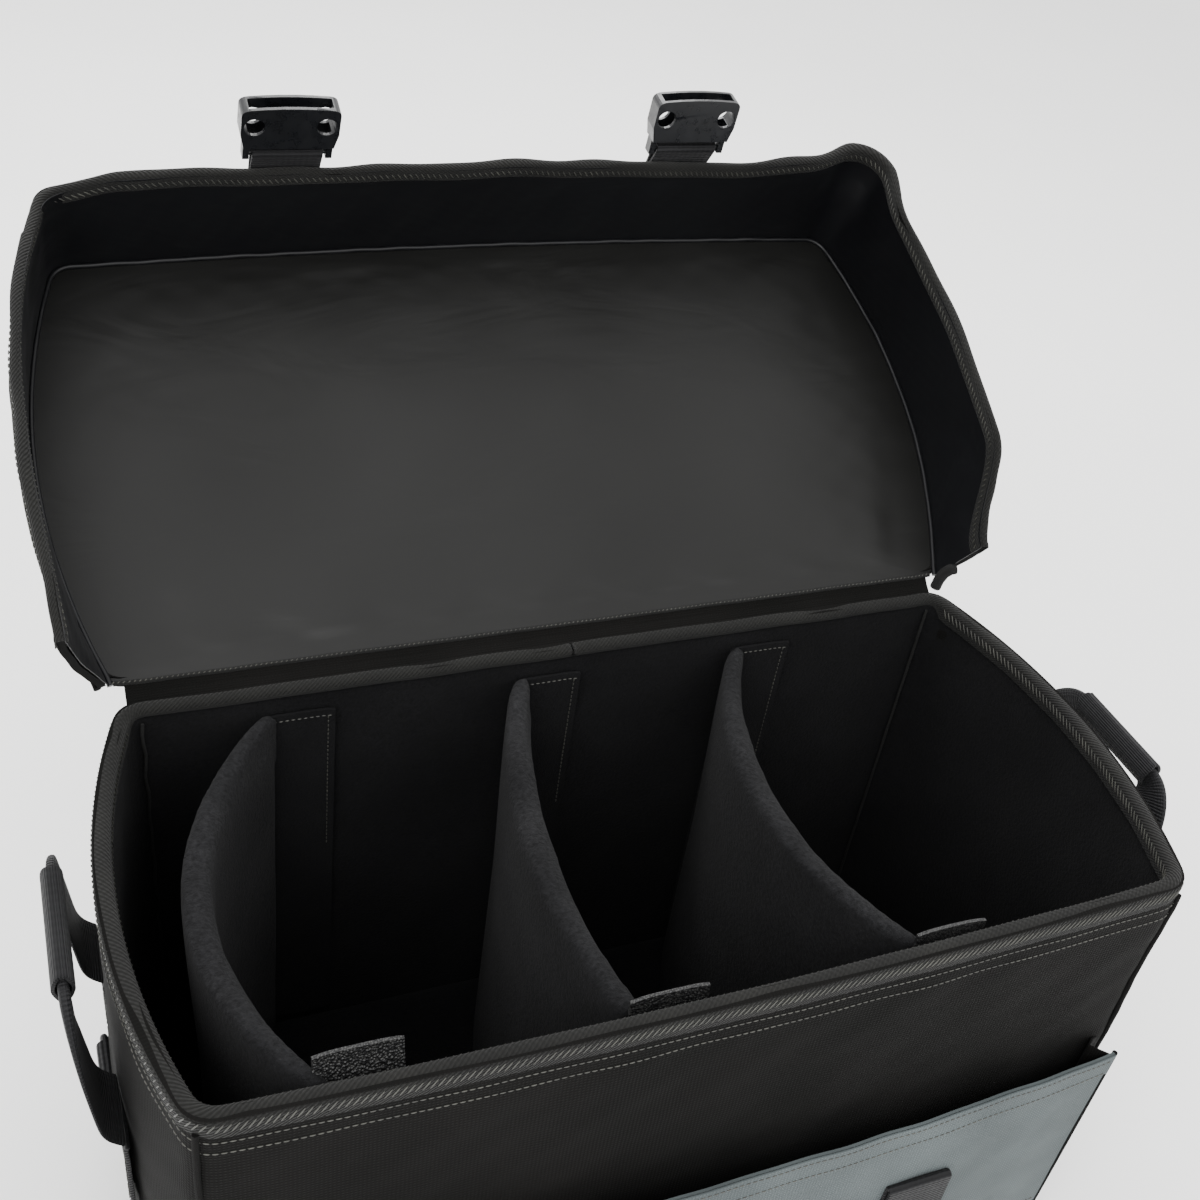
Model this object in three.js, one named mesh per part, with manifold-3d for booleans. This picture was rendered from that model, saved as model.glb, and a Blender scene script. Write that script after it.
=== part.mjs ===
// A padded percussion stick and accessory bag: a box of soft walls with a flip-top lid,
// three movable dividers, a bellows pocket and two side-release buckles.
// Millimetres, +Z up, +X along the bag, -Y its front. The origin is the middle of the base, on the floor.
import * as THREE from 'three';
import { mergeVertices } from 'three/addons/utils/BufferGeometryUtils.js';
import Module from 'manifold-3d';

const wasm = await Module();
wasm.setup();

// ---- Driving dimensions ----
const bagLength = 480;
const bagDepth = 244;
const bagHeight = 285;
const endBow = 22;
const frontBow = 5;
const wallThickness = 6;
const liningThickness = 1;
const boardThickness = 3;
const meshGap = 0.3;
const bindingThickness = 1;
const bindingDepth = 11;
const cornerSize = 12;

const lidClearance = 3.5;
const skirtThickness = 5;
const skirtDepth = 74;
const lidThickness = 6;
const lidRise = 1.2;
const hingeSetBack = 5;
const lidOpenAngle = THREE.MathUtils.degToRad(150);
const hingeStripDrop = 28;

const dividerThickness = 8;
const dividerDrop = 12;
const tabWidth = 38;
const tabThickness = 2;

const webWidth = 38;
const webThickness = 2.2;
const buckleSpread = 118;
const buckleWidth = webWidth + 14;
const buckleThickness = 11;
const buckleLength = 34;
const barRadius = 1.5;
const loopThickness = 1.9;
const buckleDrop = 6;
const lidStrapLength = 56;
const fastenedTilt = THREE.MathUtils.degToRad(20);
const leftSocketTilt = THREE.MathUtils.degToRad(7);
const rightSocketTilt = THREE.MathUtils.degToRad(17);
const plugReach = 21;
const plugShoulder = 16;

const pocketHalfWidth = bagLength / 2 - 8;
const pocketBase = 24;
const pocketClearance = 3;
const pocketDepth = 12;
const pocketBow = 4;
const pocketThickness = 2.2;
const hemHeight = 16;
const strapFoldDrop = 53;
const strapStandOff = 6;
const patchLength = 34;

const handleDrop = 95;
const handleRise = 75;
const handleKick = 9.5;
const handleLean = 17;
const handleSpread = 45;
const gripLength = 64;
const gripHeight = 18;
const gripThickness = 9;
const handlePatchLength = 60;
const raisedHandleTurn = THREE.MathUtils.degToRad(14);

const ringTabLength = 44;
const ringDrop = 34;
const ringRadius = webWidth / 2 + 2;
const ringWire = 2;

// ---- Looks ----
const looks = {
  canvas: [0x2a2927, 0.9, 0],
  lining: [0x3f3f3e, 0.55, 0],
  velour: [0x151517, 1, 0],
  felt: [0x26272a, 1, 0],
  tape: [0x4a4a46, 0.85, 0],
  hook: [0x5a5a5a, 0.8, 0],
  pocket: [0x6a7172, 0.85, 0],
  webbing: [0x232324, 0.8, 0],
  plastic: [0x26272c, 0.35, 0],
  board: [0x2b2b2b, 0.6, 0],
};

function look(name) {
  const [color, roughness, metalness] = looks[name];
  return new THREE.MeshStandardMaterial({ color, roughness, metalness });
}

const bag = new THREE.Group();

// A named piece of the given look, put in a group and placed there.
function piece(parent, name, lookName, geometry, x = 0, y = 0, z = 0) {
  const mesh = new THREE.Mesh(geometry, look(lookName));
  mesh.name = name;
  mesh.position.set(x, y, z);
  parent.add(mesh);
  return mesh;
}

// ---- Solids ----
function toSolid(geometry) {
  const bare = geometry.clone();
  bare.deleteAttribute('normal');
  bare.deleteAttribute('uv');
  const merged = mergeVertices(bare, 1e-4);
  const vertProperties = Float32Array.from(merged.attributes.position.array);
  const triVerts = Uint32Array.from(merged.index.array);
  return new wasm.Manifold(new wasm.Mesh({ numProp: 3, vertProperties, triVerts }));
}

function toGeometry(solid) {
  const mesh = solid.getMesh();
  const geometry = new THREE.BufferGeometry();
  geometry.setAttribute('position', new THREE.BufferAttribute(mesh.vertProperties, 3));
  geometry.setIndex(new THREE.BufferAttribute(mesh.triVerts, 1));
  geometry.computeVertexNormals();
  return geometry;
}

// A box between two corners.
function block(x0, y0, z0, x1, y1, z1) {
  const box = new THREE.BoxGeometry(x1 - x0, y1 - y0, z1 - z0);
  box.translate((x0 + x1) / 2, (y0 + y1) / 2, (z0 + z1) / 2);
  return box;
}

function solidBlock(...corners) {
  return toSolid(block(...corners));
}

// A plan outline, raised from one height to another.
function raise(points, low, high) {
  const geometry = new THREE.ExtrudeGeometry(new THREE.Shape(points), {
    depth: high - low,
    bevelEnabled: false,
  });
  geometry.translate(0, 0, low);
  return geometry;
}

// An outline in a plane through X and Z, as thick as asked about y = 0.
function upright(points, thickness) {
  const geometry = new THREE.ExtrudeGeometry(new THREE.Shape(points), {
    depth: thickness,
    bevelEnabled: false,
  });
  geometry.translate(0, 0, -thickness / 2);
  geometry.rotateX(Math.PI / 2);
  return geometry;
}

// A round bar along X.
function roundBar(radius, length) {
  const bar = new THREE.CylinderGeometry(radius, radius, length, 16);
  bar.rotateZ(Math.PI / 2);
  return bar;
}

function range(count) {
  return Array.from({ length: count + 1 }, (_, i) => i / count);
}

function join(solids) {
  return solids.reduce((whole, next) => whole.add(next));
}

// ---- The plan of the bag: every outline is this one, moved in by an inset ----
const planSteps = 16;

function endX(y, inset) {
  return bagLength / 2 + endBow * (1 - (2 * y / bagDepth) ** 2) - inset;
}

function frontY(x, inset) {
  return -(bagDepth / 2 + frontBow * (1 - (2 * x / bagLength) ** 2)) + inset;
}

// The closed outline, its back edge at its own inset.
function planOutline(inset, backInset = inset) {
  const halfLength = bagLength / 2 - inset;
  const front = frontY(halfLength, inset);
  const back = bagDepth / 2 - backInset;
  const points = [];
  for (const s of range(planSteps)) {
    const x = halfLength * (2 * s - 1);
    points.push(new THREE.Vector2(x, frontY(x, inset)));
  }
  for (const s of range(planSteps).slice(1)) {
    const y = front + (back - front) * s;
    points.push(new THREE.Vector2(Math.max(halfLength, endX(y, inset)), y));
  }
  for (const s of range(planSteps)) {
    const y = back + (front - back) * s;
    if (s < 1) points.push(new THREE.Vector2(-Math.max(halfLength, endX(y, inset)), y));
  }
  return points;
}

// A ring of wall between two insets.
// A ring whose back is left to be cut away is given the inset of that back edge.
function wallRing(outerInset, innerInset, low, high, back = null) {
  const outer = toSolid(raise(planOutline(outerInset, back ?? outerInset), low, high));
  const inner = toSolid(raise(planOutline(innerInset, back ? back + 1 : innerInset), low - 1, high + 1));
  return outer.subtract(inner);
}

const farAway = 1000;
const cornerX = bagLength / 2 - cornerSize;
const cornerY = bagDepth / 2 - cornerSize;

// The four straight stretches of a ring and its four corners, a gap apart.
function ringSides(ring) {
  const half = meshGap / 2;
  const xs = cornerX - half;
  const ys = cornerY - half;
  return {
    front: ring.intersect(solidBlock(-xs, -farAway, -farAway, xs, 0, farAway)),
    back: ring.intersect(solidBlock(-xs, 0, -farAway, xs, farAway, farAway)),
    left: ring.intersect(solidBlock(-farAway, -ys, -farAway, 0, ys, farAway)),
    right: ring.intersect(solidBlock(0, -ys, -farAway, farAway, ys, farAway)),
  };
}

function ringCorner(ring, sideX, sideY) {
  const xs = cornerX + meshGap / 2;
  const ys = cornerY + meshGap / 2;
  const [x0, x1] = sideX > 0 ? [xs, farAway] : [-farAway, -xs];
  const [y0, y1] = sideY > 0 ? [ys, farAway] : [-farAway, -ys];
  return ring.intersect(solidBlock(x0, y0, -farAway, x1, y1, farAway));
}

// ---- Body: base, walls, lining, bindings ----
const baseThickness = wallThickness;
const wallLow = baseThickness + meshGap;
const wallHigh = bagHeight - bindingThickness - meshGap;
const liningInset = wallThickness + meshGap;
const innerInset = liningInset + liningThickness;
const boardTop = wallLow + boardThickness;

function makeBody() {
  piece(bag, 'base_panel', 'canvas', raise(planOutline(0), 0, baseThickness));
  piece(bag, 'base_board', 'board', raise(planOutline(innerInset + 1), wallLow, boardTop));
  const walls = wallRing(0, wallThickness, wallLow, wallHigh);
  const lining = wallRing(liningInset, innerInset, wallLow, wallHigh);
  const wallSides = ringSides(walls);
  const liningSides = ringSides(lining);
  for (const side of ['front', 'back', 'left', 'right']) {
    piece(bag, `${side}_wall`, 'canvas', toGeometry(wallSides[side]));
  }
  piece(bag, 'front_lining', 'velour', toGeometry(liningSides.front));
  piece(bag, 'back_lining', 'velour', toGeometry(liningSides.back));
  for (const [name, sideX] of [['left', -1], ['right', 1]]) {
    const [x0, x1] = [sideX * (cornerX + meshGap), sideX * farAway].sort((a, b) => a - b);
    const wrap = lining.intersect(solidBlock(x0, -farAway, -farAway, x1, farAway, farAway));
    piece(bag, `${name}_lining`, 'velour', toGeometry(wrap));
    for (const [place, sideY] of [['front', -1], ['back', 1]]) {
      piece(bag, `${place}_${name}_corner_binding`, 'tape', toGeometry(ringCorner(walls, sideX, sideY)));
    }
  }
  const outside = -bindingThickness - meshGap;
  const inside = innerInset + meshGap + bindingThickness;
  const cover = wallRing(outside, inside, bagHeight - bindingDepth, bagHeight);
  const room = wallRing(-meshGap, innerInset + meshGap, 0, bagHeight - bindingThickness);
  piece(bag, 'rim_binding', 'tape', toGeometry(cover.subtract(room)));
}

// ---- Dividers: felt-covered foam, bowed, stuck to the lining by hook tabs at both ends ----
// Each place is a share of the half length, at the back wall, at the front wall and midway.
const dividers = [
  { name: 'left_divider', places: [-0.696, -0.775, -0.908] },
  { name: 'middle_divider', places: [-0.121, -0.208, -0.258] },
  { name: 'right_divider', places: [0.429, 0.396, 0.279] },
];

function makeDivider({ name, places }) {
  const [back, front, middle] = places.map((share) => share * bagLength / 2);
  const tabRoom = tabThickness + 2 * meshGap;
  const backY = bagDepth / 2 - innerInset - tabRoom - 1;
  const nearY = -(bagDepth / 2 - innerInset - tabRoom - 1);
  const bowed = (s) => {
    const straight = back + (front - back) * s;
    return straight + (middle - (back + front) / 2) * (1 - (2 * s - 1) ** 2);
  };
  const spine = range(14).map((s) => [bowed(s), backY + (nearY - backY) * s]);
  const half = dividerThickness / 2;
  const points = spine.map(([x, y]) => new THREE.Vector2(x + half, y));
  spine.reverse().forEach(([x, y]) => points.push(new THREE.Vector2(x - half, y)));
  const low = boardTop + 2 * meshGap;
  const high = bagHeight - dividerDrop;
  piece(bag, name, 'felt', raise(points, low, high));
  const tabLow = low + 8;
  const tabHigh = high - 4;
  const tab = (x, y) => block(x - half, y, tabLow, x - half + tabWidth, y + tabThickness, tabHigh);
  piece(bag, `${name}_back_tab`, 'hook', tab(back, backY + meshGap));
  piece(bag, `${name}_front_tab`, 'hook', tab(front, nearY - meshGap - tabThickness));
}

// ---- Lid: built closed about its hinge line, then swung open ----
const hingeY = bagDepth / 2 + hingeSetBack;
const hingeZ = bagHeight + lidRise;
const skirtInset = -lidClearance;
const skirtOuter = skirtInset - skirtThickness;
const lidBackInset = -2;
const lidPanelLow = bagHeight + lidRise + liningThickness + meshGap;
const skirtLow = bagHeight - skirtDepth;
const flareStep = 20;

const lid = new THREE.Group();
lid.position.set(0, hingeY, hingeZ);
lid.rotation.x = -lidOpenAngle;
bag.add(lid);

// A lid piece is drawn in the bag's closed place and moved to the hinge's own axes.
function lidPiece(name, lookName, geometry) {
  geometry.translate(0, -hingeY, -hingeZ);
  return piece(lid, name, lookName, geometry);
}

// How far a side skirt flares at one point. The point swings on an arc about the hinge and crosses
// the rim's height nearer the middle, where the end bows further out, so it has to clear the bow there.
function skirtFlare(y, z) {
  const bowAt = (place) => Math.max(bagLength / 2, endX(place, 0));
  const reach = Math.hypot(hingeY - y, hingeZ - z);
  return y > 0 ? bowAt(Math.max(0, hingeY - reach)) - bowAt(y) : 0;
}

function flared(solid) {
  return solid.refineToLength(flareStep).warp((point) => {
    point[0] += Math.sign(point[0]) * skirtFlare(point[1], point[2]);
  });
}

function makeLid() {
  const panelPlan = planOutline(skirtOuter, lidBackInset);
  lidPiece('lid_panel', 'canvas', raise(panelPlan, lidPanelLow, lidPanelLow + lidThickness));
  const liningPlan = planOutline(skirtInset + meshGap, lidBackInset);
  const liningLow = bagHeight + lidRise;
  lidPiece('lid_lining', 'lining', raise(liningPlan, liningLow, liningLow + liningThickness));
  const pastBack = lidBackInset - 9;
  const skirt = wallRing(skirtOuter, skirtInset, skirtLow, lidPanelLow - meshGap, pastBack);
  const sideCut = (x0, x1, y0, y1) => skirt.intersect(solidBlock(x0, y0, -farAway, x1, y1, farAway));
  const backEdge = bagDepth / 2 - lidBackInset;
  const near = -cornerY;
  const gap = meshGap;
  lidPiece('lid_front_skirt', 'canvas', toGeometry(sideCut(-cornerX, cornerX, -farAway, 0)));
  for (const [name, sideX] of [['left', -1], ['right', 1]]) {
    const [x0, x1] = [0, sideX * farAway].sort((a, b) => a - b);
    const side = flared(sideCut(x0, x1, near, backEdge));
    lidPiece(`lid_${name}_skirt`, 'canvas', toGeometry(side));
    const [seam0, seam1] = [sideX * (cornerX + gap), sideX * farAway].sort((a, b) => a - b);
    const seam = sideCut(seam0, seam1, -farAway, near - gap);
    lidPiece(`lid_${name}_corner_seam`, 'tape', toGeometry(seam));
  }
  const low = skirtLow - meshGap - bindingThickness;
  const spread = meshGap + bindingThickness;
  const openEnd = solidBlock(-farAway, -farAway, -farAway, farAway, backEdge, farAway);
  const cover = wallRing(skirtOuter - spread, skirtInset + spread, low, low + bindingDepth, pastBack);
  const roomLow = skirtLow - meshGap;
  const room = wallRing(skirtOuter - meshGap, skirtInset + meshGap, roomLow, bagHeight, pastBack);
  const tape = cover.subtract(room).intersect(openEnd);
  lidPiece('lid_edge_binding', 'tape', toGeometry(flared(tape)));
  const stripY = bagDepth / 2 + bindingThickness + 3 * meshGap;
  const strip = block(-cornerX, stripY, bagHeight - hingeStripDrop,
    cornerX, stripY + liningThickness, bagHeight - 2);
  piece(bag, 'hinge_strip', 'canvas', strip);
}

// ---- Side-release buckles ----
const loopRadius = barRadius + meshGap + loopThickness;
const armInner = webWidth / 2 + 1.5;
const armOuter = armInner + 3.5;
const bodyStart = loopRadius + 3;
const cavityHalf = buckleWidth / 2 - 4;
const cavityThickness = 7;

// A webbing loop round a bar, with the flat stretch that leads to it.
function webLoop() {
  const tube = toSolid(roundBar(loopRadius, webWidth));
  return tube.subtract(toSolid(roundBar(barRadius + meshGap, webWidth + 2)));
}

// The bar that the webbing wraps and the two cheeks that hold it, reaching along +Z.
function buckleBar() {
  const cheekHalf = 3;
  return join([
    toSolid(roundBar(barRadius, 2 * armInner + 2)),
    solidBlock(armInner, -cheekHalf, -2.5, armOuter, cheekHalf, bodyStart + 1),
    solidBlock(-armOuter, -cheekHalf, -2.5, -armInner, cheekHalf, bodyStart + 1),
  ]);
}

// The socket half: a flat shell with a mouth and a finger window at each side.
function socketSolid() {
  const half = buckleWidth / 2;
  const shape = new THREE.Shape();
  shape.moveTo(-armOuter, bodyStart);
  shape.lineTo(armOuter, bodyStart);
  shape.quadraticCurveTo(armOuter + 1, bodyStart + 5, half, bodyStart + 9);
  shape.lineTo(half, buckleLength - 5);
  shape.quadraticCurveTo(half, buckleLength - 1.5, half - 5, buckleLength - 1);
  shape.quadraticCurveTo(0, buckleLength + 1, -half + 5, buckleLength - 1);
  shape.quadraticCurveTo(-half, buckleLength - 1.5, -half, buckleLength - 5);
  shape.lineTo(-half, bodyStart + 9);
  shape.quadraticCurveTo(-armOuter - 1, bodyStart + 5, -armOuter, bodyStart);
  const outline = shape.getPoints(5);
  const shell = toSolid(upright(outline, buckleThickness));
  const cavity = solidBlock(-cavityHalf, -cavityThickness / 2, bodyStart + 4,
    cavityHalf, cavityThickness / 2, buckleLength + 5);
  const windowAt = (x) => {
    const hole = new THREE.CylinderGeometry(5.5, 5.5, buckleThickness + 4, 20);
    hole.translate(x, 0, bodyStart + 15);
    return toSolid(hole);
  };
  const windowX = half - 7;
  return shell.subtract(cavity).subtract(windowAt(windowX)).subtract(windowAt(-windowX)).add(buckleBar());
}

// The plug half: shoulder, two sprung arms with lugs, and a guide blade between them.
function plugSolid() {
  const half = buckleWidth / 2 - 1;
  const shoulder = upright([
    new THREE.Vector2(-armOuter, bodyStart),
    new THREE.Vector2(armOuter, bodyStart),
    new THREE.Vector2(half, plugShoulder - 4),
    new THREE.Vector2(half, plugShoulder - 0.5),
    new THREE.Vector2(-half, plugShoulder - 0.5),
    new THREE.Vector2(-half, plugShoulder - 4),
  ], 8);
  const tip = plugShoulder + plugReach;
  const arm = (side) => upright([
    new THREE.Vector2(side * 11, plugShoulder - 2),
    new THREE.Vector2(side * 15, plugShoulder - 2),
    new THREE.Vector2(side * 15.5, tip - 14),
    new THREE.Vector2(side * 20.5, tip - 13),
    new THREE.Vector2(side * 20.5, tip - 8),
    new THREE.Vector2(side * 14, tip),
    new THREE.Vector2(side * 11.5, tip - 2),
  ], 5);
  const blade = solidBlock(-2.5, -2.5, plugShoulder - 2, 2.5, 2.5, tip - 4);
  return join([toSolid(shoulder), toSolid(arm(1)), toSolid(arm(-1)), blade, buckleBar()]);
}

const skirtFaceY = frontY(buckleSpread, skirtOuter);
const strapPlaneY = skirtFaceY - bindingThickness - 2 * meshGap - webThickness / 2 - 0.4;
const socketBarZ = skirtLow - buckleDrop;

function makeSocket(name, sideX, tilt) {
  const x = sideX * buckleSpread;
  const strip = solidBlock(-webWidth / 2, -webThickness / 2, barRadius + 1.2,
    webWidth / 2, webThickness / 2, lidStrapLength);
  const strap = toGeometry(webLoop().add(strip));
  strap.translate(x, strapPlaneY, socketBarZ);
  lidPiece(`${name}_lid_strap`, 'webbing', strap);
  const socket = new THREE.Group();
  socket.position.set(x, strapPlaneY - hingeY, socketBarZ - hingeZ);
  socket.rotation.x = Math.PI - tilt;
  lid.add(socket);
  piece(socket, `${name}_buckle_socket`, 'plastic', toGeometry(socketSolid()));
}

// ---- Pocket on the front: grey panel, bellows sides, floor, hem, and the straps on its face ----
const pocketTop = socketBarZ - buckleLength - pocketClearance;

function pocketFaceY(x) {
  return frontY(x, 0) - pocketDepth - pocketBow * (1 - (x / pocketHalfWidth) ** 2);
}

// A strip that follows the pocket's bowed face, standing off it by one distance and as thick as asked.
function pocketStrip(halfWidth, standOff, thickness, low, high) {
  const spine = range(planSteps).map((s) => halfWidth * (2 * s - 1));
  const points = spine.map((x) => new THREE.Vector2(x, pocketFaceY(x) - standOff - thickness));
  spine.reverse().forEach((x) => points.push(new THREE.Vector2(x, pocketFaceY(x) - standOff)));
  return raise(points, low, high);
}

// A side of the pocket: one sheet folded in like a bellows.
function gusset(sideX) {
  const sheet = 1.2;
  const edge = pocketHalfWidth - 3;
  const wallY = frontY(edge, 0) - meshGap;
  const faceY = pocketFaceY(edge) + meshGap;
  const midY = (wallY + faceY) / 2;
  const fold = 9;
  const outer = [[edge, wallY], [edge - fold, midY], [edge, faceY]];
  const inner = outer.map(([x, y]) => [x - 2 * sheet, y]);
  const loop = [...outer, ...inner.reverse()];
  const points = loop.map(([x, y]) => new THREE.Vector2(sideX * x, y));
  return raise(points, pocketBase + 2, pocketTop - 6);
}

function pocketFloor() {
  const half = pocketHalfWidth - 8;
  const spine = range(planSteps).map((s) => half * (2 * s - 1));
  const points = spine.map((x) => new THREE.Vector2(x, pocketFaceY(x) + meshGap));
  spine.reverse().forEach((x) => points.push(new THREE.Vector2(x, frontY(x, 0) - meshGap)));
  return raise(points, pocketBase, pocketBase + 1.6);
}

// Where the plug's bar lies when the bag is fastened, and so how long its strap is.
const barToBar = buckleLength + plugShoulder;
const strapFoldHeight = pocketTop - strapFoldDrop;
const fastenedY = strapPlaneY - barToBar * Math.sin(fastenedTilt);
const fastenedZ = socketBarZ - barToBar * Math.cos(fastenedTilt);
const strapPivotY = pocketFaceY(buckleSpread) - pocketThickness - strapStandOff;
const strapRise = fastenedZ - strapFoldHeight;
const strapLean = strapPivotY - fastenedY;
const strapLength = Math.hypot(strapRise, strapLean);

function makePocketStrap(name, sideX) {
  const x = sideX * buckleSpread;
  const faceY = pocketFaceY(buckleSpread) - pocketThickness - 3 * meshGap;
  const patch = block(-webWidth / 2, faceY - webThickness, strapFoldHeight - patchLength,
    webWidth / 2, faceY, strapFoldHeight);
  piece(bag, `${name}_strap_patch`, 'webbing', patch, x);
  const strip = solidBlock(-webWidth / 2, -webThickness / 2, -strapLength + barRadius + 1.2,
    webWidth / 2, webThickness / 2, 0);
  const loop = webLoop().translate([0, 0, -strapLength]);
  piece(bag, `${name}_front_strap`, 'webbing', toGeometry(loop.add(strip)), x, strapPivotY, strapFoldHeight);
  const plug = piece(bag, `${name}_buckle_plug`, 'plastic', toGeometry(plugSolid()),
    x, strapPivotY, strapFoldHeight - strapLength);
  plug.rotation.x = Math.PI;
}

function makePocket() {
  const face = pocketStrip(pocketHalfWidth, 0, pocketThickness, pocketBase, pocketTop);
  piece(bag, 'pocket_front', 'pocket', face);
  const hemStandOff = pocketThickness + meshGap;
  const hem = pocketStrip(pocketHalfWidth, hemStandOff, 1, pocketTop - hemHeight, pocketTop);
  piece(bag, 'pocket_hem', 'pocket', hem);
  piece(bag, 'pocket_floor', 'canvas', pocketFloor());
  piece(bag, 'left_pocket_gusset', 'canvas', gusset(-1));
  piece(bag, 'right_pocket_gusset', 'canvas', gusset(1));
}

// ---- End handles: a webbing loop, folded into a grip, on two sewn ends ----
const handleZ = bagHeight - handleDrop;
const handlePivotX = endX(handleSpread, 0) + webThickness + 1;

// The loop for the right end, its sewn line at the origin, drawn standing up.
function handleSolid() {
  const half = webThickness / 2;
  const kickRise = 9;
  const profile = [[0, 0], [handleKick, kickRise], [handleLean, handleRise]];
  const points = [
    ...profile.map(([x, z]) => new THREE.Vector2(x - half, z)),
    ...[...profile].reverse().map(([x, z]) => new THREE.Vector2(x + half, z)),
  ];
  const leg = (y) => {
    const solid = toSolid(upright(points, webWidth));
    return solid.translate([0, y, 0]);
  };
  const gripSection = new THREE.Shape().absellipse(0, 0, gripThickness / 2, gripHeight / 2, 0, 2 * Math.PI);
  const foldLength = gripLength + 24;
  const gripGeometry = new THREE.ExtrudeGeometry(gripSection, {
    depth: foldLength,
    bevelEnabled: false,
    curveSegments: 10,
  });
  gripGeometry.translate(0, 0, -foldLength / 2);
  gripGeometry.rotateX(Math.PI / 2);
  gripGeometry.translate(handleLean, 0, handleRise);
  return join([toSolid(gripGeometry), leg(handleSpread), leg(-handleSpread)]);
}

function makeHandle(name, sideX, turn) {
  const group = new THREE.Group();
  group.position.set(sideX * handlePivotX, 0, handleZ);
  group.rotation.y = sideX * turn;
  bag.add(group);
  const geometry = toGeometry(sideX > 0 ? handleSolid() : handleSolid().mirror([1, 0, 0]));
  piece(group, `${name}_handle`, 'webbing', geometry);
  const near = endX(handleSpread - webWidth / 2, 0) + 2 * meshGap;
  const [x0, x1] = [sideX * near, sideX * (near + webThickness)].sort((a, b) => a - b);
  for (const [place, y] of [['front', -handleSpread], ['back', handleSpread]]) {
    const end = block(x0, y - webWidth / 2, handleZ - handlePatchLength - 1.5,
      x1, y + webWidth / 2, handleZ - 3);
    piece(bag, `${name}_handle_${place}_end`, 'webbing', end);
  }
}

// ---- Shoulder-strap rings: a D-ring hanging in a sewn webbing loop below each handle ----
function ringSolid() {
  const bend = range(16).map((t) => new THREE.Vector3(
    0,
    ringRadius * Math.cos(Math.PI * t),
    -6 - ringRadius * Math.sin(Math.PI * t),
  ));
  const corners = [new THREE.Vector3(0, ringRadius, 0), ...bend, new THREE.Vector3(0, -ringRadius, 0)];
  return join(corners.map((corner, i) => capsule(corner, corners[(i + 1) % corners.length])));
}

// A round bar between two points, its ends rounded.
function capsule(from, to) {
  const length = from.distanceTo(to);
  const bar = new THREE.CapsuleGeometry(ringWire, length, 3, 10);
  const turn = new THREE.Quaternion().setFromUnitVectors(
    new THREE.Vector3(0, 1, 0),
    new THREE.Vector3().subVectors(to, from).normalize(),
  );
  bar.applyQuaternion(turn);
  const middle = new THREE.Vector3().addVectors(from, to).multiplyScalar(0.5);
  bar.translate(middle.x, middle.y, middle.z);
  return toSolid(bar);
}

function makeRing(name, sideX) {
  const loopInner = ringWire + meshGap;
  const loopOuter = loopInner + loopThickness;
  const x = sideX * (endX(0, 0) + loopOuter + meshGap);
  const z = handleZ - ringDrop;
  const tube = new THREE.CylinderGeometry(loopOuter, loopOuter, webWidth - 4, 18);
  const bore = new THREE.CylinderGeometry(loopInner, loopInner, webWidth, 18);
  const faceX = sideX * -(loopOuter - loopThickness / 2);
  const tail = solidBlock(faceX - loopThickness / 2, -webWidth / 2 + 2, -ringTabLength,
    faceX + loopThickness / 2, webWidth / 2 - 2, 0);
  const loop = toSolid(tube).add(tail).subtract(toSolid(bore));
  piece(bag, `${name}_ring_tab`, 'webbing', toGeometry(loop), x, 0, z);
  piece(bag, `${name}_strap_ring`, 'plastic', toGeometry(ringSolid()), x, 0, z);
}

makeBody();
dividers.forEach(makeDivider);
makeLid();
makePocket();
for (const [name, sideX] of [['left', -1], ['right', 1]]) {
  makePocketStrap(name, sideX);
  makeRing(name, sideX);
}
makeSocket('left', -1, leftSocketTilt);
makeSocket('right', 1, rightSocketTilt);
makeHandle('left', -1, 0);
makeHandle('right', 1, raisedHandleTurn);

export default bag;
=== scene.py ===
# %% [markdown]
# # A padded percussion bag, dressed in Blender
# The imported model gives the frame: every wall, strap and buckle already has its place and its joint.
# This lesson makes what the eye sees: soft walls, woven cloth, bound edges, thread and moulded buckles.
# Lengths in the lesson are millimetres, as on a maker's cutting sheet, and one helper turns them to metres.

# %% Load the frame
import math

import bpy
import numpy as np
from mathutils import Matrix, Vector


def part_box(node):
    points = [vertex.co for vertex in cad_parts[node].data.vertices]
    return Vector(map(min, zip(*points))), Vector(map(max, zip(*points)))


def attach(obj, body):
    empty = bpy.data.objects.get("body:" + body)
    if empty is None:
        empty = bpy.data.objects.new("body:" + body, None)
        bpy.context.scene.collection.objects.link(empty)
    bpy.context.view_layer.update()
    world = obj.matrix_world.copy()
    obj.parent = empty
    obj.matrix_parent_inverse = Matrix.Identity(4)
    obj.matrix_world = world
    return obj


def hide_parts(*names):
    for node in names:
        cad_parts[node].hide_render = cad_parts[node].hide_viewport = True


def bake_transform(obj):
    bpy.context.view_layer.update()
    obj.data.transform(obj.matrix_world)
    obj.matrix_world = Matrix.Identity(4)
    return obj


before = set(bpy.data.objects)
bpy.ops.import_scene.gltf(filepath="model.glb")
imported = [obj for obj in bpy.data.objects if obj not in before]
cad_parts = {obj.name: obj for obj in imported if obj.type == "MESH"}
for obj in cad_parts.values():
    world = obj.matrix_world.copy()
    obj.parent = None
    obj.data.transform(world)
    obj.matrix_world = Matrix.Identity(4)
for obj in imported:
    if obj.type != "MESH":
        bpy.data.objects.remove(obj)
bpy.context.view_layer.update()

# %% [markdown]
# ## The cutting sheet
# These are the bag's own sizes. The length and depth are between the corners of the mouth.
# The two ends swell outwards, because the dividers and the foam push them, and the front does so a little.

# %% Sizes of the bag
LENGTH = 480
DEPTH = 244
HEIGHT = 285
END_BOW = 22
FRONT_BOW = 5
LINING = 7.3
SKIRT = 74
HINGE = (127, 286.2)
LID_OPEN = math.radians(150)
MM = 0.001


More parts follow.
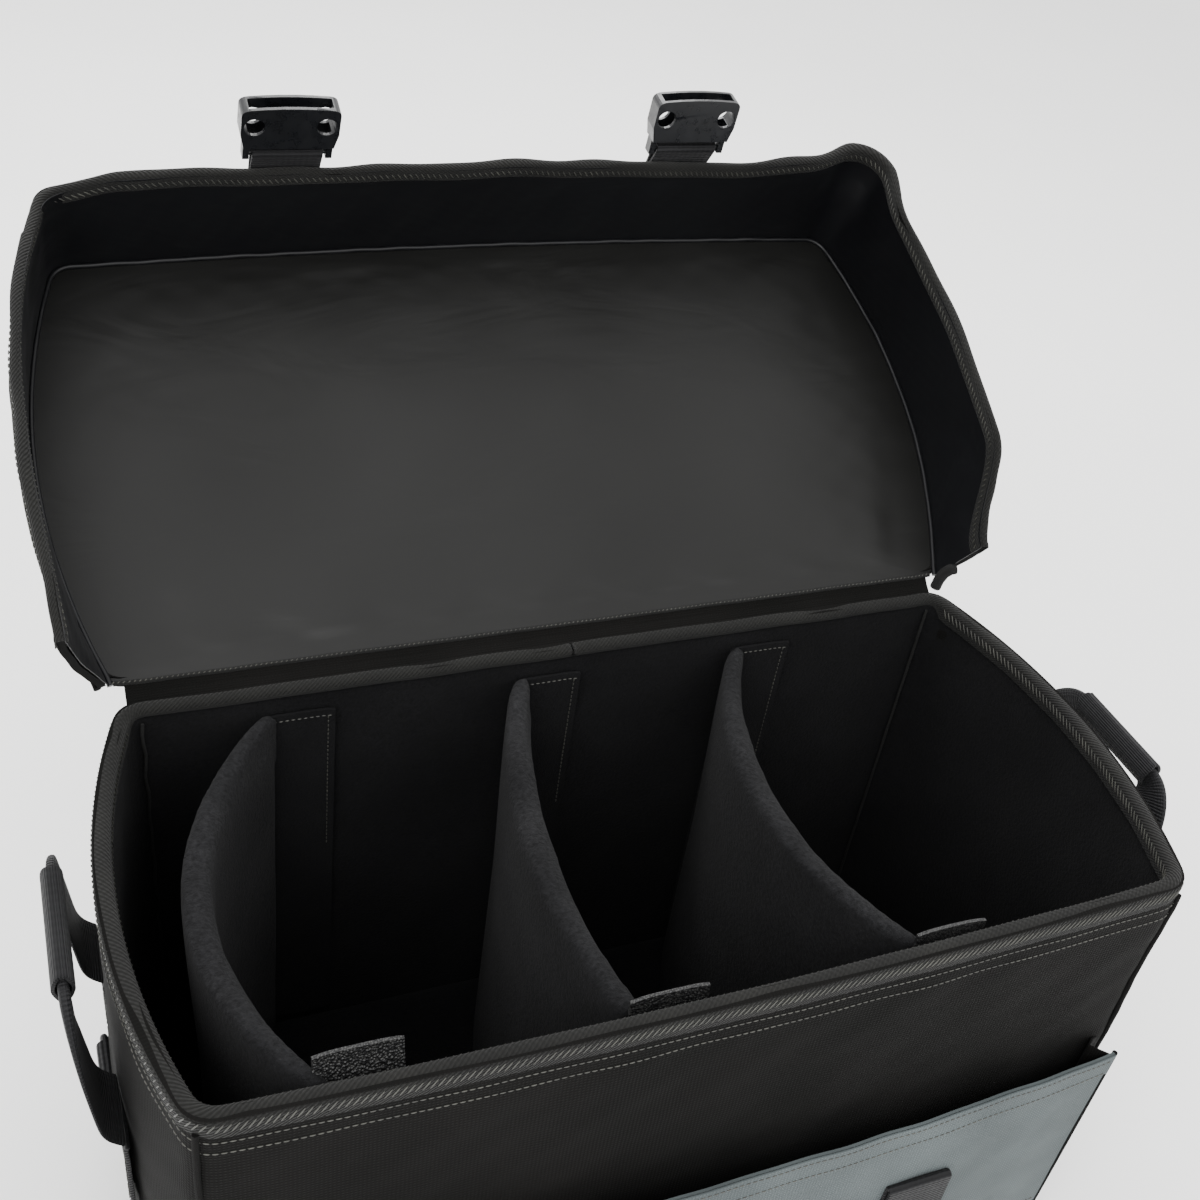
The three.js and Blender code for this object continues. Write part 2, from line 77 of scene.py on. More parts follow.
def metres(points):
    """Points or lengths in millimetres, as an array in metres."""
    return np.asarray(points, float) * MM


def smooth(low, high, value):
    """0 below low, 1 above high and an easy curve between them."""
    t = np.clip((np.asarray(value, float) - low) / (high - low), 0, 1)
    return t * t * (3 - 2 * t)


def end_x(y):
    """How far the bowed end stands from the middle of the bag, at a place along the end."""
    return LENGTH / 2 + END_BOW * (1 - (2 * y / DEPTH) ** 2)


def front_y(x):
    """Where the front of the bag lies, at a place along its length."""
    return -(DEPTH / 2 + FRONT_BOW * (1 - (2 * x / LENGTH) ** 2))


print("mouth", LENGTH, "by", DEPTH, "mm, height", HEIGHT)

# %% [markdown]
# ## The camera
# The bag is looked down into from its left front corner, with a slight turn of the camera in the hand.
# The camera is placed by its distance from the middle of the mouth, and aimed by three angles.

# %% Camera
LENS_MM = 43.27
VIEW_YAW = math.radians(26.08)
VIEW_PITCH = math.radians(-36.82)
VIEW_ROLL = math.radians(8.96)
camera_place = Vector((-0.2637, -0.4471, HEIGHT * MM + 0.4991))

forward = Vector((math.sin(VIEW_YAW) * math.cos(VIEW_PITCH), math.cos(VIEW_YAW) * math.cos(VIEW_PITCH),
                  math.sin(VIEW_PITCH)))
level = Vector((math.cos(VIEW_YAW), -math.sin(VIEW_YAW), 0))
upward = level.cross(forward)
side = level * math.cos(VIEW_ROLL) + upward * math.sin(VIEW_ROLL)
up = upward * math.cos(VIEW_ROLL) - level * math.sin(VIEW_ROLL)
camera_data = bpy.data.cameras.new("camera")
camera_data.lens = LENS_MM
camera_data.sensor_width = 36
camera = bpy.data.objects.new("camera", camera_data)
bpy.context.scene.collection.objects.link(camera)
camera.matrix_world = Matrix((
    (side.x, up.x, -forward.x, camera_place.x),
    (side.y, up.y, -forward.y, camera_place.y),
    (side.z, up.z, -forward.z, camera_place.z),
    (0, 0, 0, 1),
))
bpy.context.scene.camera = camera
print("camera at", tuple(round(v, 3) for v in camera_place))

# %% [markdown]
# ## Floor and light
# Black cloth needs large, soft lights, or it turns into a hole. One broad light stands high at the left
# front, a weak one lifts the open lid, and one from behind throws the front skirt's shadow on to the lining.

# %% Floor and lights
bpy.ops.mesh.primitive_plane_add(size=30, location=(0, 0, 0))
floor = bpy.context.object
floor.name = "floor"

LIGHTS = [
    ("key", (-1.1, -1.2, 2.0), 1.6, 46),
    ("lid_fill", (0.6, -1.6, 1.8), 1.4, 14),
    ("back", (0.2, 1.5, 1.9), 1.2, 44),
]
for light_name, place, size, watts in LIGHTS:
    light_data = bpy.data.lights.new(light_name, "AREA")
    light_data.size = size
    light_data.energy = watts
    light = bpy.data.objects.new(light_name, light_data)
    bpy.context.scene.collection.objects.link(light)
    light.location = place
    light.rotation_euler = (Vector((0, 0.05, 0.3)) - Vector(place)).to_track_quat("-Z", "Y").to_euler()

world = bpy.data.worlds.new("studio")
bpy.context.scene.world = world
world.use_nodes = True
world.node_tree.nodes["Background"].inputs["Color"].default_value = (1, 1, 1, 1)
world.node_tree.nodes["Background"].inputs["Strength"].default_value = 2.0
print("lights:", [row[0] for row in LIGHTS])

# %% [markdown]
# ## How a finish is written
# Each finish is a small tree of nodes. Two helpers are enough: one turns a colour written as on a
# screen into the linear light that a shader needs, and one adds a node with its settings and links.

# %% Colour and node helpers
def linear(hex_colour):
    """An sRGB colour such as "2a2927", as linear red, green, blue and alpha."""
    channels = [int(hex_colour[i:i + 2], 16) / 255 for i in (0, 2, 4)]
    return tuple(c / 12.92 if c <= 0.04045 else ((c + 0.055) / 1.055) ** 2.4 for c in channels) + (1,)


def add(tree, kind, **inputs):
    """Adds a node. A lower-case word sets the node itself, any other gives a socket its value."""
    node = tree.nodes.new(kind)
    for key, value in inputs.items():
        if key[0].islower() and hasattr(node, key):
            setattr(node, key, value)
            continue
        name = key.replace("_", " ").strip()
        socket = node.inputs[int(name)] if name.isdigit() else node.inputs[name]
        if isinstance(value, bpy.types.NodeSocket):
            tree.links.new(value, socket)
        else:
            socket.default_value = value
    return node


def new_material(name, roughness, **constants):
    """A material with its shader ready, and the tree to add its pattern to."""
    material = bpy.data.materials.new(name)
    material.use_nodes = True
    tree = material.node_tree
    shader = tree.nodes["Principled BSDF"]
    shader.inputs["Roughness"].default_value = roughness
    for key, value in constants.items():
        shader.inputs[key.replace("_", " ")].default_value = value
    return material, tree, shader


def mottle(tree, vector, scale, dark, pale, detail=4):
    """A slow change between two colours, as dust and handling leave on cloth."""
    noise = add(tree, "ShaderNodeTexNoise", Vector=vector, Scale=scale, Detail=detail)
    ramp = add(tree, "ShaderNodeValToRGB", Fac=noise.outputs["Fac"])
    ramp.color_ramp.elements[0].position = 0.3
    ramp.color_ramp.elements[0].color = linear(dark)
    ramp.color_ramp.elements[1].position = 0.72
    ramp.color_ramp.elements[1].color = linear(pale)
    return ramp.outputs["Color"]


def threads(tree, vector, pitch_mm, direction):
    """Bands across the cloth, one for each thread, from 0 to 1."""
    wave = add(tree, "ShaderNodeTexWave", bands_direction=direction, Vector=vector,
               Scale=math.tau / (20 * pitch_mm * MM), Distortion=0.6, Detail=1.0)
    return wave.outputs["Fac"]


def raised(tree, height, strength, depth_mm, base=None):
    """A bump of a real depth, on top of another one if asked."""
    inputs = dict(Height=height, Strength=strength, Distance=depth_mm * MM)
    if base is not None:
        inputs["Normal"] = base
    return add(tree, "ShaderNodeBump", **inputs).outputs["Normal"]


print("helpers ready")

# %% [markdown]
# ## Canvas: 600-denier polyester, plain weave
# The outside of the bag is a coarse plain weave with a matt face and a slightly brown black.
# The threads lie 0.9 mm apart. They are drawn 1.8 mm apart, because finer ones vanish in a view of the
# whole bag.
# The pattern follows the cloth's own map, which every sheet below carries in metres.

# %% Canvas
def woven_cloth(name, dark, pale, pitch_mm, roughness, sheen):
    material, tree, shader = new_material(name, roughness, Sheen_Weight=sheen, Sheen_Roughness=0.4,
                                          Specular_IOR_Level=0.1)
    place = add(tree, "ShaderNodeTexCoord")
    cloth_map = place.outputs["UV"]
    body = place.outputs["Object"]
    warp = threads(tree, cloth_map, pitch_mm, "X")
    weft = threads(tree, cloth_map, pitch_mm, "Y")
    cross = add(tree, "ShaderNodeMath", operation="MULTIPLY", _0=warp, _1=weft).outputs[0]
    fuzz = add(tree, "ShaderNodeTexNoise", Vector=body, Scale=900, Detail=3).outputs["Fac"]
    colour = mottle(tree, body, 14, dark, pale)
    shaded = add(tree, "ShaderNodeMix", data_type="RGBA", blend_type="MULTIPLY", Factor=0.4)
    tree.links.new(colour, shaded.inputs[6])
    grain = add(tree, "ShaderNodeMapRange", Value=cross, To_Min=0.55, To_Max=1.5).outputs[0]
    tree.links.new(grain, shaded.inputs[7])
    tree.links.new(shaded.outputs[2], shader.inputs["Base Color"])
    folds = add(tree, "ShaderNodeTexNoise", Vector=body, Scale=11, Detail=2, Distortion=0.6).outputs["Fac"]
    soft = raised(tree, folds, 0.5, 6)
    weave = raised(tree, cross, 0.55, 0.5, soft)
    tree.links.new(raised(tree, fuzz, 0.25, 0.3, weave), shader.inputs["Normal"])
    return material


canvas = woven_cloth("polyester_canvas", "060605", "0d0c0b", 1.8, 0.92, 0.01)
pocket_cloth = woven_cloth("grey_polyester_canvas", "464c4d", "565d5e", 1.8, 0.86, 0.04)
print("woven cloths:", canvas.name, pocket_cloth.name)

# %% [markdown]
# ## Coated nylon: the lid's lining
# A thin nylon taffeta with a coated face is smooth, and its shine drifts across the sheet as it ripples.
# The thread is far too fine to see, so the look is all in the shine: a middling roughness that varies,
# and long shallow ripples.

# %% Nylon lining
def nylon(name, dark, pale, roughness):
    material, tree, shader = new_material(name, roughness, Sheen_Weight=0.01, Specular_IOR_Level=0.24)
    place = add(tree, "ShaderNodeTexCoord")
    body = place.outputs["Object"]
    tree.links.new(mottle(tree, body, 5, dark, pale, 2), shader.inputs["Base Color"])
    stretched = add(tree, "ShaderNodeMapping", Vector=body, Scale=(6, 14, 14))
    ripple = add(tree, "ShaderNodeTexNoise", Vector=stretched.outputs[0], Scale=1.6, Detail=3,
                 Distortion=0.9).outputs["Fac"]
    grain = add(tree, "ShaderNodeTexNoise", Vector=body, Scale=1400, Detail=2).outputs["Fac"]
    rough = add(tree, "ShaderNodeMapRange", Value=ripple, To_Min=roughness - 0.08, To_Max=roughness + 0.1)
    tree.links.new(rough.outputs[0], shader.inputs["Roughness"])
    tree.links.new(raised(tree, grain, 0.25, 0.15, raised(tree, ripple, 0.35, 3)), shader.inputs["Normal"])
    return material


lid_nylon = nylon("coated_nylon_lining", "070706", "121211", 0.46)
# Painted shade: the skirt lining is the lid's nylon in a darker colour, for the shade its inner face stands
# in.
skirt_nylon = nylon("coated_nylon_skirt_lining", "060608", "0e0f11", 0.36)
print("nylons:", lid_nylon.name, skirt_nylon.name)

# %% [markdown]
# ## Brushed cloths: velour and felt
# The inside walls are loop velour, which the hook tabs grip, and the dividers are covered in brushed felt.
# Both are short fuzz that scatters light, so they are black face on and greyer where the eye grazes them.
# That is what the sheen does. The tufts are noise 1 to 2 mm wide.

# %% Velour and felt
def brushed_cloth(name, dark, pale, sheen, tuft_mm, depth_mm, edge=1.0):
    material, tree, shader = new_material(name, 1.0, Sheen_Weight=sheen, Sheen_Roughness=0.6,
                                          Specular_IOR_Level=0.1)
    place = add(tree, "ShaderNodeTexCoord")
    body = place.outputs["Object"]
    tuft = add(tree, "ShaderNodeTexNoise", Vector=body, Scale=1 / (tuft_mm * MM), Detail=4,
               Roughness=0.65).outputs["Fac"]
    base = mottle(tree, body, 18, dark, pale)
    shaded = add(tree, "ShaderNodeMix", data_type="RGBA", blend_type="MULTIPLY", Factor=0.7)
    tree.links.new(base, shaded.inputs[6])
    tree.links.new(add(tree, "ShaderNodeMapRange", Value=tuft, From_Min=0.3, From_Max=0.7,
                       To_Min=0.3, To_Max=2.1).outputs[0], shaded.inputs[7])
    # Painted highlight: from 262 to 274 mm up, the colour is multiplied up to edge, standing in for the
    # light from above on the dividers' top edges; an edge of 1.0 leaves a cloth as it is.
    height = add(tree, "ShaderNodeSeparateXYZ", Vector=body).outputs["Z"]
    painted_top_light = add(tree, "ShaderNodeMapRange", interpolation_type="SMOOTHSTEP", Value=height, From_Min=0.262,
                  From_Max=0.274, To_Min=1.0, To_Max=edge).outputs[0]
    colour_with_painted_top_light = add(tree, "ShaderNodeMix", data_type="RGBA", blend_type="MULTIPLY", Factor=1.0)
    tree.links.new(shaded.outputs[2], colour_with_painted_top_light.inputs[6])
    tree.links.new(painted_top_light, colour_with_painted_top_light.inputs[7])
    tree.links.new(colour_with_painted_top_light.outputs[2], shader.inputs["Base Color"])
    broad = add(tree, "ShaderNodeTexNoise", Vector=body, Scale=40, Detail=2).outputs["Fac"]
    tree.links.new(raised(tree, tuft, 0.8, depth_mm, raised(tree, broad, 0.4, 2)), shader.inputs["Normal"])
    return material


velour = brushed_cloth("loop_velour", "070708", "0d0d0e", 0.015, 1.8, 1.0)
# The felt's edge of 1.3 is a painted highlight along the tops of the dividers.
felt = brushed_cloth("brushed_felt", "0a0a0b", "151516", 0.02, 2.2, 1.6, edge=1.3)
flange_felt = brushed_cloth("felt_faced_flange", "070708", "0e0e0f", 0.015, 1.2, 0.6)
print("brushed cloths:", velour.name, felt.name)

# %% [markdown]
# ## Tapes, webbing and thread
# Binding tape is a narrow twill: its ribs run slantwise, 1.6 mm apart. Webbing is a heavy plain weave
# whose ribs cross the strap. Both read the sheet's own map, so the ribs turn with the strap.

# %% Tape, webbing, hook tape and thread
def ribbed_tape(name, dark, pale, pitch_mm, slant, roughness):
    material, tree, shader = new_material(name, roughness, Sheen_Weight=0.03, Specular_IOR_Level=0.2)
    place = add(tree, "ShaderNodeTexCoord")
    turned = add(tree, "ShaderNodeMapping", Vector=place.outputs["UV"], Rotation=(0, 0, slant)).outputs[0]
    ribs = threads(tree, turned, pitch_mm, "X")
    rows = threads(tree, turned, pitch_mm * 1.7, "Y")
    both = add(tree, "ShaderNodeMath", operation="MULTIPLY_ADD", _0=rows, _1=0.35, _2=ribs).outputs[0]
    base = mottle(tree, place.outputs["Object"], 30, dark, pale)
    shaded = add(tree, "ShaderNodeMix", data_type="RGBA", blend_type="MULTIPLY", Factor=0.75)
    tree.links.new(base, shaded.inputs[6])
    shade = add(tree, "ShaderNodeMapRange", Value=both, From_Max=1.35, To_Min=0.45, To_Max=1.5).outputs[0]
    tree.links.new(shade, shaded.inputs[7])
    tree.links.new(shaded.outputs[2], shader.inputs["Base Color"])
    tree.links.new(raised(tree, both, 0.8, 0.6), shader.inputs["Normal"])
    return material


binding_tape = ribbed_tape("twill_binding_tape", "0b0b0a", "141412", 1.6, math.radians(50), 0.85)
webbing = ribbed_tape("polyester_webbing", "08080a", "121214", 1.9, 0, 0.65)


def hook_tape_finish():
    material, tree, shader = new_material("nylon_hook_tape", 0.5, Specular_IOR_Level=0.5)
    place = add(tree, "ShaderNodeTexCoord")
    hooks = add(tree, "ShaderNodeTexVoronoi", Vector=place.outputs["Object"], Scale=800).outputs["Distance"]
    ramp = add(tree, "ShaderNodeValToRGB", Fac=hooks)
    ramp.color_ramp.elements[0].color = linear("3a3a38")
    ramp.color_ramp.elements[1].position = 0.55
    ramp.color_ramp.elements[1].color = linear("0e0e0f")
    tree.links.new(ramp.outputs["Color"], shader.inputs["Base Color"])
    tree.links.new(raised(tree, hooks, 1.0, 1.0), shader.inputs["Normal"])
    return material


def thread_finish():
    material, tree, shader = new_material("bonded_nylon_thread", 0.5, Specular_IOR_Level=0.5)
    place = add(tree, "ShaderNodeTexCoord")
    colour = mottle(tree, place.outputs["Object"], 60, "2a2a27", "3e3e38")
    tree.links.new(colour, shader.inputs["Base Color"])
    twist = add(tree, "ShaderNodeTexNoise", Vector=place.outputs["Object"], Scale=2500).outputs["Fac"]
    tree.links.new(raised(tree, twist, 0.4, 0.1), shader.inputs["Normal"])
    return material


hook_tape = hook_tape_finish()
thread = thread_finish()
print("tapes:", binding_tape.name, webbing.name, hook_tape.name)

# %% [markdown]
# ## Acetal: moulded buckles and rings
# Side-release buckles are moulded in acetal. Fresh from the mould it is smooth with a waxy gloss, and
# handling leaves fine rubs that break the shine up.

# %% Moulded plastic
def moulded_plastic(name, dark, pale, roughness):
    material, tree, shader = new_material(name, roughness, Specular_IOR_Level=0.55, IOR=1.48)
    place = add(tree, "ShaderNodeTexCoord")
    body = place.outputs["Object"]
    tree.links.new(mottle(tree, body, 25, dark, pale), shader.inputs["Base Color"])
    rubs = add(tree, "ShaderNodeTexNoise", Vector=body, Scale=160, Detail=5, Roughness=0.7).outputs["Fac"]
    rough = add(tree, "ShaderNodeMapRange", Value=rubs, From_Min=0.35, From_Max=0.7,
                To_Min=roughness - 0.08, To_Max=roughness + 0.15).outputs[0]
    tree.links.new(rough, shader.inputs["Roughness"])
    skin = add(tree, "ShaderNodeTexNoise", Vector=body, Scale=1100, Detail=2).outputs["Fac"]
    tree.links.new(raised(tree, skin, 0.15, 0.08), shader.inputs["Normal"])
    return material


acetal = moulded_plastic("moulded_acetal", "0a0b0d", "111215", 0.3)

floor_material, floor_tree, floor_shader = new_material("painted_floor", 0.9)
floor_place = add(floor_tree, "ShaderNodeTexCoord")
floor_tree.links.new(mottle(floor_tree, floor_place.outputs["Object"], 2, "f4f4f3", "f8f8f7"),
                     floor_shader.inputs["Base Color"])
floor.data.materials.append(floor_material)
print("plastic:", acetal.name)

# %% [markdown]
# ## Shaping tools
# A bag is cut flat and sewn into shape, so most pieces here start the same way: a flat grid, whose points
# are moved to where the cloth lies. The grid keeps its flat map, in metres, so the weave keeps its size.
# A modifier gives the cloth its thickness, and is applied at once.

# %% Helpers that cut, thicken and finish a piece
def select_only(obj):
    bpy.ops.object.select_all(action="DESELECT")
    obj.select_set(True)
    bpy.context.view_layer.objects.active = obj


def apply_modifier(obj, kind, **settings):
    select_only(obj)
    modifier = obj.modifiers.new(kind.title(), kind)
    for key, value in settings.items():
        setattr(modifier, key, value)
    bpy.ops.object.modifier_apply(modifier=modifier.name)
    return obj


def edit_all(obj, *steps):
    """Runs edit-mode operators, each given as (operator, settings), on the whole mesh."""
    select_only(obj)
    bpy.ops.object.mode_set(mode="EDIT")
    bpy.ops.mesh.select_all(action="SELECT")
    for step, settings in steps:
        step(**settings)
    bpy.ops.object.mode_set(mode="OBJECT")
    return obj


def cut_cloth(name, columns, rows, place, cut):
    """A grid of cloth, in millimetres: place(u, v) gives its points, and cut is its flat size."""
    bpy.ops.object.select_all(action="DESELECT")
    bpy.ops.mesh.primitive_grid_add(x_subdivisions=columns, y_subdivisions=rows, size=1)
    obj = bpy.context.object
    obj.name = name
    mesh = obj.data
    flat = np.zeros(len(mesh.vertices) * 3)
    mesh.vertices.foreach_get("co", flat)
    flat = flat.reshape(-1, 3)[:, :2] + 0.5
    points = np.stack(np.broadcast_arrays(*place(flat[:, 0], flat[:, 1])), axis=1)
    mesh.vertices.foreach_set("co", metres(points).ravel())
    corners = np.zeros(len(mesh.loops), int)
    mesh.loops.foreach_get("vertex_index", corners)
    mesh.uv_layers.active.data.foreach_set("uv", (flat[corners] * metres(cut)).ravel())
    mesh.update()
    return obj


def close_up(obj, gap_mm=0.05):
    """Merges the edges that meet, and turns every face outwards."""
    return edit_all(obj, (bpy.ops.mesh.remove_doubles, dict(threshold=gap_mm * MM)),
                    (bpy.ops.mesh.normals_make_consistent, dict(inside=False)))


def round_edges(obj, radius_mm):
    """Takes the sharpness off the cut edges of a tape or a strap."""
    return apply_modifier(obj, "BEVEL", width=radius_mm * MM, segments=2, limit_method="ANGLE",
                          angle_limit=math.radians(50))


def finish_piece(obj, body, material, nodes=(), smooth_angle=60):
    """Gives a piece its finish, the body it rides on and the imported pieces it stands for."""
    select_only(obj)
    bpy.ops.object.shade_smooth_by_angle(angle=math.radians(smooth_angle))
    obj.data.materials.clear()
    obj.data.materials.append(material)
    if body:
        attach(obj, body)
    if nodes:
        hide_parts(*nodes)
    return obj


def resample(points, count, closed=False):
    """Points spaced evenly along a line through the given ones."""
    points = np.asarray(points, float)
    if closed:
        points = np.vstack([points, points[:1]])
    steps = np.linalg.norm(np.diff(points, axis=0), axis=1)
    along = np.concatenate([[0], np.cumsum(steps)])
    wanted = np.linspace(0, along[-1], count + 1 if closed else count)
    if closed:
        wanted = wanted[:-1]
    return np.stack([np.interp(wanted, along, points[:, k]) for k in range(points.shape[1])], axis=1)


def line_length(points):
    return float(np.linalg.norm(np.diff(np.asarray(points, float), axis=0), axis=1).sum())


print("helpers ready")

# %% [markdown]
# ## The plan of the bag
# One outline runs round the mouth: the two bowed ends, the front, the back and four rounded corners.
# Every layer of the wall is this outline moved in by an inset. It starts and ends in the middle of the
# back, where a seam is least seen, and runs by the left end, the front and the right end.

# %% Outline of the mouth
def plan_loop(inset, corner, count, back_inset=None):
    back = DEPTH / 2 - (inset if back_inset is None else back_inset)
    half = LENGTH / 2 - inset
    front = -DEPTH / 2 + inset
    steps = np.linspace(0, 1, 40)

    def bend(start, point, stop):
        t = np.linspace(0, 1, 12)[1:-1, None]
        return (1 - t) ** 2 * np.array(start) + 2 * t * (1 - t) * np.array(point) + t ** 2 * np.array(stop)

    def end_line(side):
        y = back - corner + (front + corner - back + corner) * steps
        return np.stack([side * np.maximum(end_x(y) - inset, half), y], axis=1)

    def front_line():
        x = (half - corner) * (2 * steps - 1)
        return np.stack([x, front_y(x) + inset], axis=1)

    left, near, right = end_line(-1), front_line(), end_line(1)[::-1]
    line = np.vstack([
        [[0, back], [-half + corner, back]],
        bend((-half + corner, back), (-half, back), left[0]), left,
        bend(left[-1], (-half, front), near[0]), near,
        bend(near[-1], (half, front), right[0]), right,
        bend(right[-1], (half, back), (half - corner, back)),
        [[half - corner, back]],
    ])
    return resample(line, count, closed=True)


def outward(loop):
    """The level direction away from the bag at each point of a closed outline."""
    along = np.roll(loop, -1, axis=0) - np.roll(loop, 1, axis=0)
    normal = np.stack([along[:, 1], -along[:, 0]], axis=1)
    normal /= np.linalg.norm(normal, axis=1)[:, None]
    return -normal if (normal * loop).sum() < 0 else normal


def on_loop(loop, u):
    """Where the share u of the way round a closed outline lies."""
    shares = np.linspace(0, 1, len(loop) + 1)
    ring = np.vstack([loop, loop[:1]])
    return np.interp(u, shares, ring[:, 0]), np.interp(u, shares, ring[:, 1])


def crumple(x, y, z, size_mm, seed):
    """Slow folds and dents from -1 to 1, the same on each run."""
    a, b, c = (np.asarray(v, float) / size_mm for v in (x, y, z))
    waves = np.sin(2.1 * a + 1.3 * b + seed) * np.cos(1.7 * c - 0.9 * a + 2 * seed)
    finer = np.sin(3.9 * b + 4.7 * c + 3 * seed) * np.cos(4.3 * a - 2.9 * c + seed)
    return 0.65 * waves + 0.35 * finer


outer_loop = plan_loop(0, 11, 480)
loop_length = line_length(np.vstack([outer_loop, outer_loop[:1]]))
print("round the mouth:", round(loop_length), "mm")

# %% [markdown]
# ## The walls
# The real wall is a sandwich of canvas, foam and velour, sewn at the corners and bound at the rim.
# The canvas is one long strip here, lofted round the outline. Foam makes each panel swell a little between
# its seams, and the cloth lies in slow, shallow dents. Its foot turns in under the base.

# %% Outer canvas shell
PANEL_SWELL = 2.8
FOOT_RADIUS = 7
FOOT_TUCK = 8
FOOT_SHARE = 0.06


def wall_swell(x, y, height_share):
    """How far a panel swells out between its corners, its rim and its foot."""
    along_end = 1 - smooth(0.55, 1, np.abs(y) / (DEPTH / 2))
    along_front = 1 - smooth(0.7, 1, np.abs(x) / (LENGTH / 2))
    rim_hold = 1 - 0.35 * smooth(0.55, 0.7, height_share)
    middle = np.sin(np.pi * np.clip(height_share, 0, 1)) ** 0.8 * rim_hold
    return PANEL_SWELL * middle * np.maximum(along_end * (np.abs(x) > 200), along_front * 0.6)


outer_normal = outward(outer_loop)


def wall_place(u, v):
    x, y = on_loop(outer_loop, u)
    nx, ny = on_loop(outer_normal, u)
    foot = np.clip(v / FOOT_SHARE, 0, 1)
    straight = (HEIGHT - 2 - FOOT_RADIUS) * (v - FOOT_SHARE) / (1 - FOOT_SHARE)
    z = np.where(v < FOOT_SHARE, FOOT_RADIUS * (1 - np.cos(foot * np.pi / 2)), FOOT_RADIUS + straight)
    tuck = np.where(v < FOOT_SHARE, FOOT_TUCK * (1 - np.sin(foot * np.pi / 2)), 0)
    dents = 0.9 * crumple(x, y, z, 34, 1.0) * smooth(0, 0.2, v) * (1 - smooth(0.9, 1, v))
    swell = wall_swell(x, y, z / HEIGHT) + dents
    swell = np.where(y > DEPTH / 2 - 2, np.minimum(swell, 0.3), swell)
    return x + nx * (swell - tuck), y + ny * (swell - tuck), z


wall_shell = cut_cloth("wall_shell", 420, 64, wall_place, (loop_length, HEIGHT + 8))
apply_modifier(wall_shell, "SOLIDIFY", thickness=5.6 * MM, offset=-1)
close_up(wall_shell)
finish_piece(wall_shell, "bag", canvas,
             ("front_wall", "back_wall", "left_wall", "right_wall", "front_left_corner_binding",
              "front_right_corner_binding", "back_left_corner_binding", "back_right_corner_binding"))
print("wall shell:", len(wall_shell.data.polygons), "faces")

# %% [markdown]
# ## The velour lining
# The lining is a second loft inside the foam, from the board up to the rim. It isn't glued down, so it
# ripples a little. A thin piped seam stands in each of its corners, and shows as a paler line in the dark.

# %% Lining and the lined board
lining_loop = plan_loop(LINING - 0.6, 9, 360)
lining_normal = outward(lining_loop)
BOARD_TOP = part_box("base_board")[1].z / MM


def lining_place(u, v):
    x, y = on_loop(lining_loop, u)
    nx, ny = on_loop(lining_normal, u)
    z = BOARD_TOP - 2 + (HEIGHT - 3 - BOARD_TOP + 2) * v
    ripple = 0.5 * crumple(x, y, z, 22, 4.0) * smooth(0, 0.1, v) * (1 - smooth(0.9, 1, v)) + 0.3
    return x + nx * ripple, y + ny * ripple, z


lining_shell = cut_cloth("lining_shell", 300, 40, lining_place, (loop_length, HEIGHT))
close_up(lining_shell)
edit_all(lining_shell, (bpy.ops.mesh.flip_normals, {}))
apply_modifier(lining_shell, "SOLIDIFY", thickness=0.9 * MM, offset=-1)
finish_piece(lining_shell, "bag", velour,
             ("front_lining", "back_lining", "left_lining", "right_lining"))


def disc_place(loop, height):
    """Rings from the middle out to an outline, for a panel that is cut to the plan of the bag."""
    def place(u, v):
        x, y = on_loop(loop, u)
        return x * v, y * v, height(x, y, v)
    return place


def map_flat(obj, turn=None):
    """Gives a panel a straight map of its own plan, so that its weave runs one way."""
    co = np.array([v.co for v in obj.data.vertices])
    if turn is not None:
        co = co @ turn
    corners = np.zeros(len(obj.data.loops), int)
    obj.data.loops.foreach_get("vertex_index", corners)
    obj.data.uv_layers.active.data.foreach_set("uv", co[corners][:, :2].ravel())
    return obj


def board_height(x, y, v):
    return BOARD_TOP - 0.4 - 2.4 * smooth(0.95, 1, v) + 0.3 * crumple(x * v, y * v, 0, 30, 2.0)


def base_height(x, y, v):
    return 0.2 + 1.6 * smooth(0.96, 1, v)


board_cover = cut_cloth("board_cover", 160, 24,
                        disc_place(plan_loop(LINING + 1.6, 8, 240), board_height), (1, 1))
map_flat(board_cover)
apply_modifier(board_cover, "SOLIDIFY", thickness=2.6 * MM, offset=-1)
close_up(board_cover)
finish_piece(board_cover, "bag", velour, ("base_board",))

base_pad = cut_cloth("base_pad", 200, 24, disc_place(plan_loop(7, 8, 300), base_height), (1, 1))
map_flat(base_pad)
apply_modifier(base_pad, "SOLIDIFY", thickness=5.4 * MM, offset=-1)
close_up(base_pad)
finish_piece(base_pad, "bag", canvas, ("base_panel",))
print("lining, board cover and base:", len(lining_shell.data.polygons), len(board_cover.data.polygons))

# %% [markdown]
# ## Cords, piping and thread
# Piping and seams are round runs along a line. A curve with a round bevel makes them, and is then turned
# into a mesh. A stitch is a short spindle of thread that dips into the cloth at both ends: one is modelled
# from a sphere, and copied along the seam, each copy turned to the seam's direction.

# %% Helpers for piping and stitches
PIPING_SIDES = 3
SEAM_PITCH = 3.4
STITCH_LENGTH = 2.7
THREAD_RADIUS = 0.42


def piping(name, points, radius, closed=False):
    """A round run through the given points, all in millimetres."""
    curve = bpy.data.curves.new(name, "CURVE")
    curve.dimensions = "3D"
    curve.bevel_depth = radius * MM
    curve.bevel_resolution = PIPING_SIDES
    curve.use_fill_caps = True
    spline = curve.splines.new("POLY")
    spline.points.add(len(points) - 1)
    for point, place in zip(spline.points, metres(points)):
        point.co = (*place, 1)
    spline.use_cyclic_u = closed
    obj = bpy.data.objects.new(name, curve)
    bpy.context.scene.collection.objects.link(obj)
    select_only(obj)
    bpy.ops.object.convert(target="MESH")
    return bpy.context.object


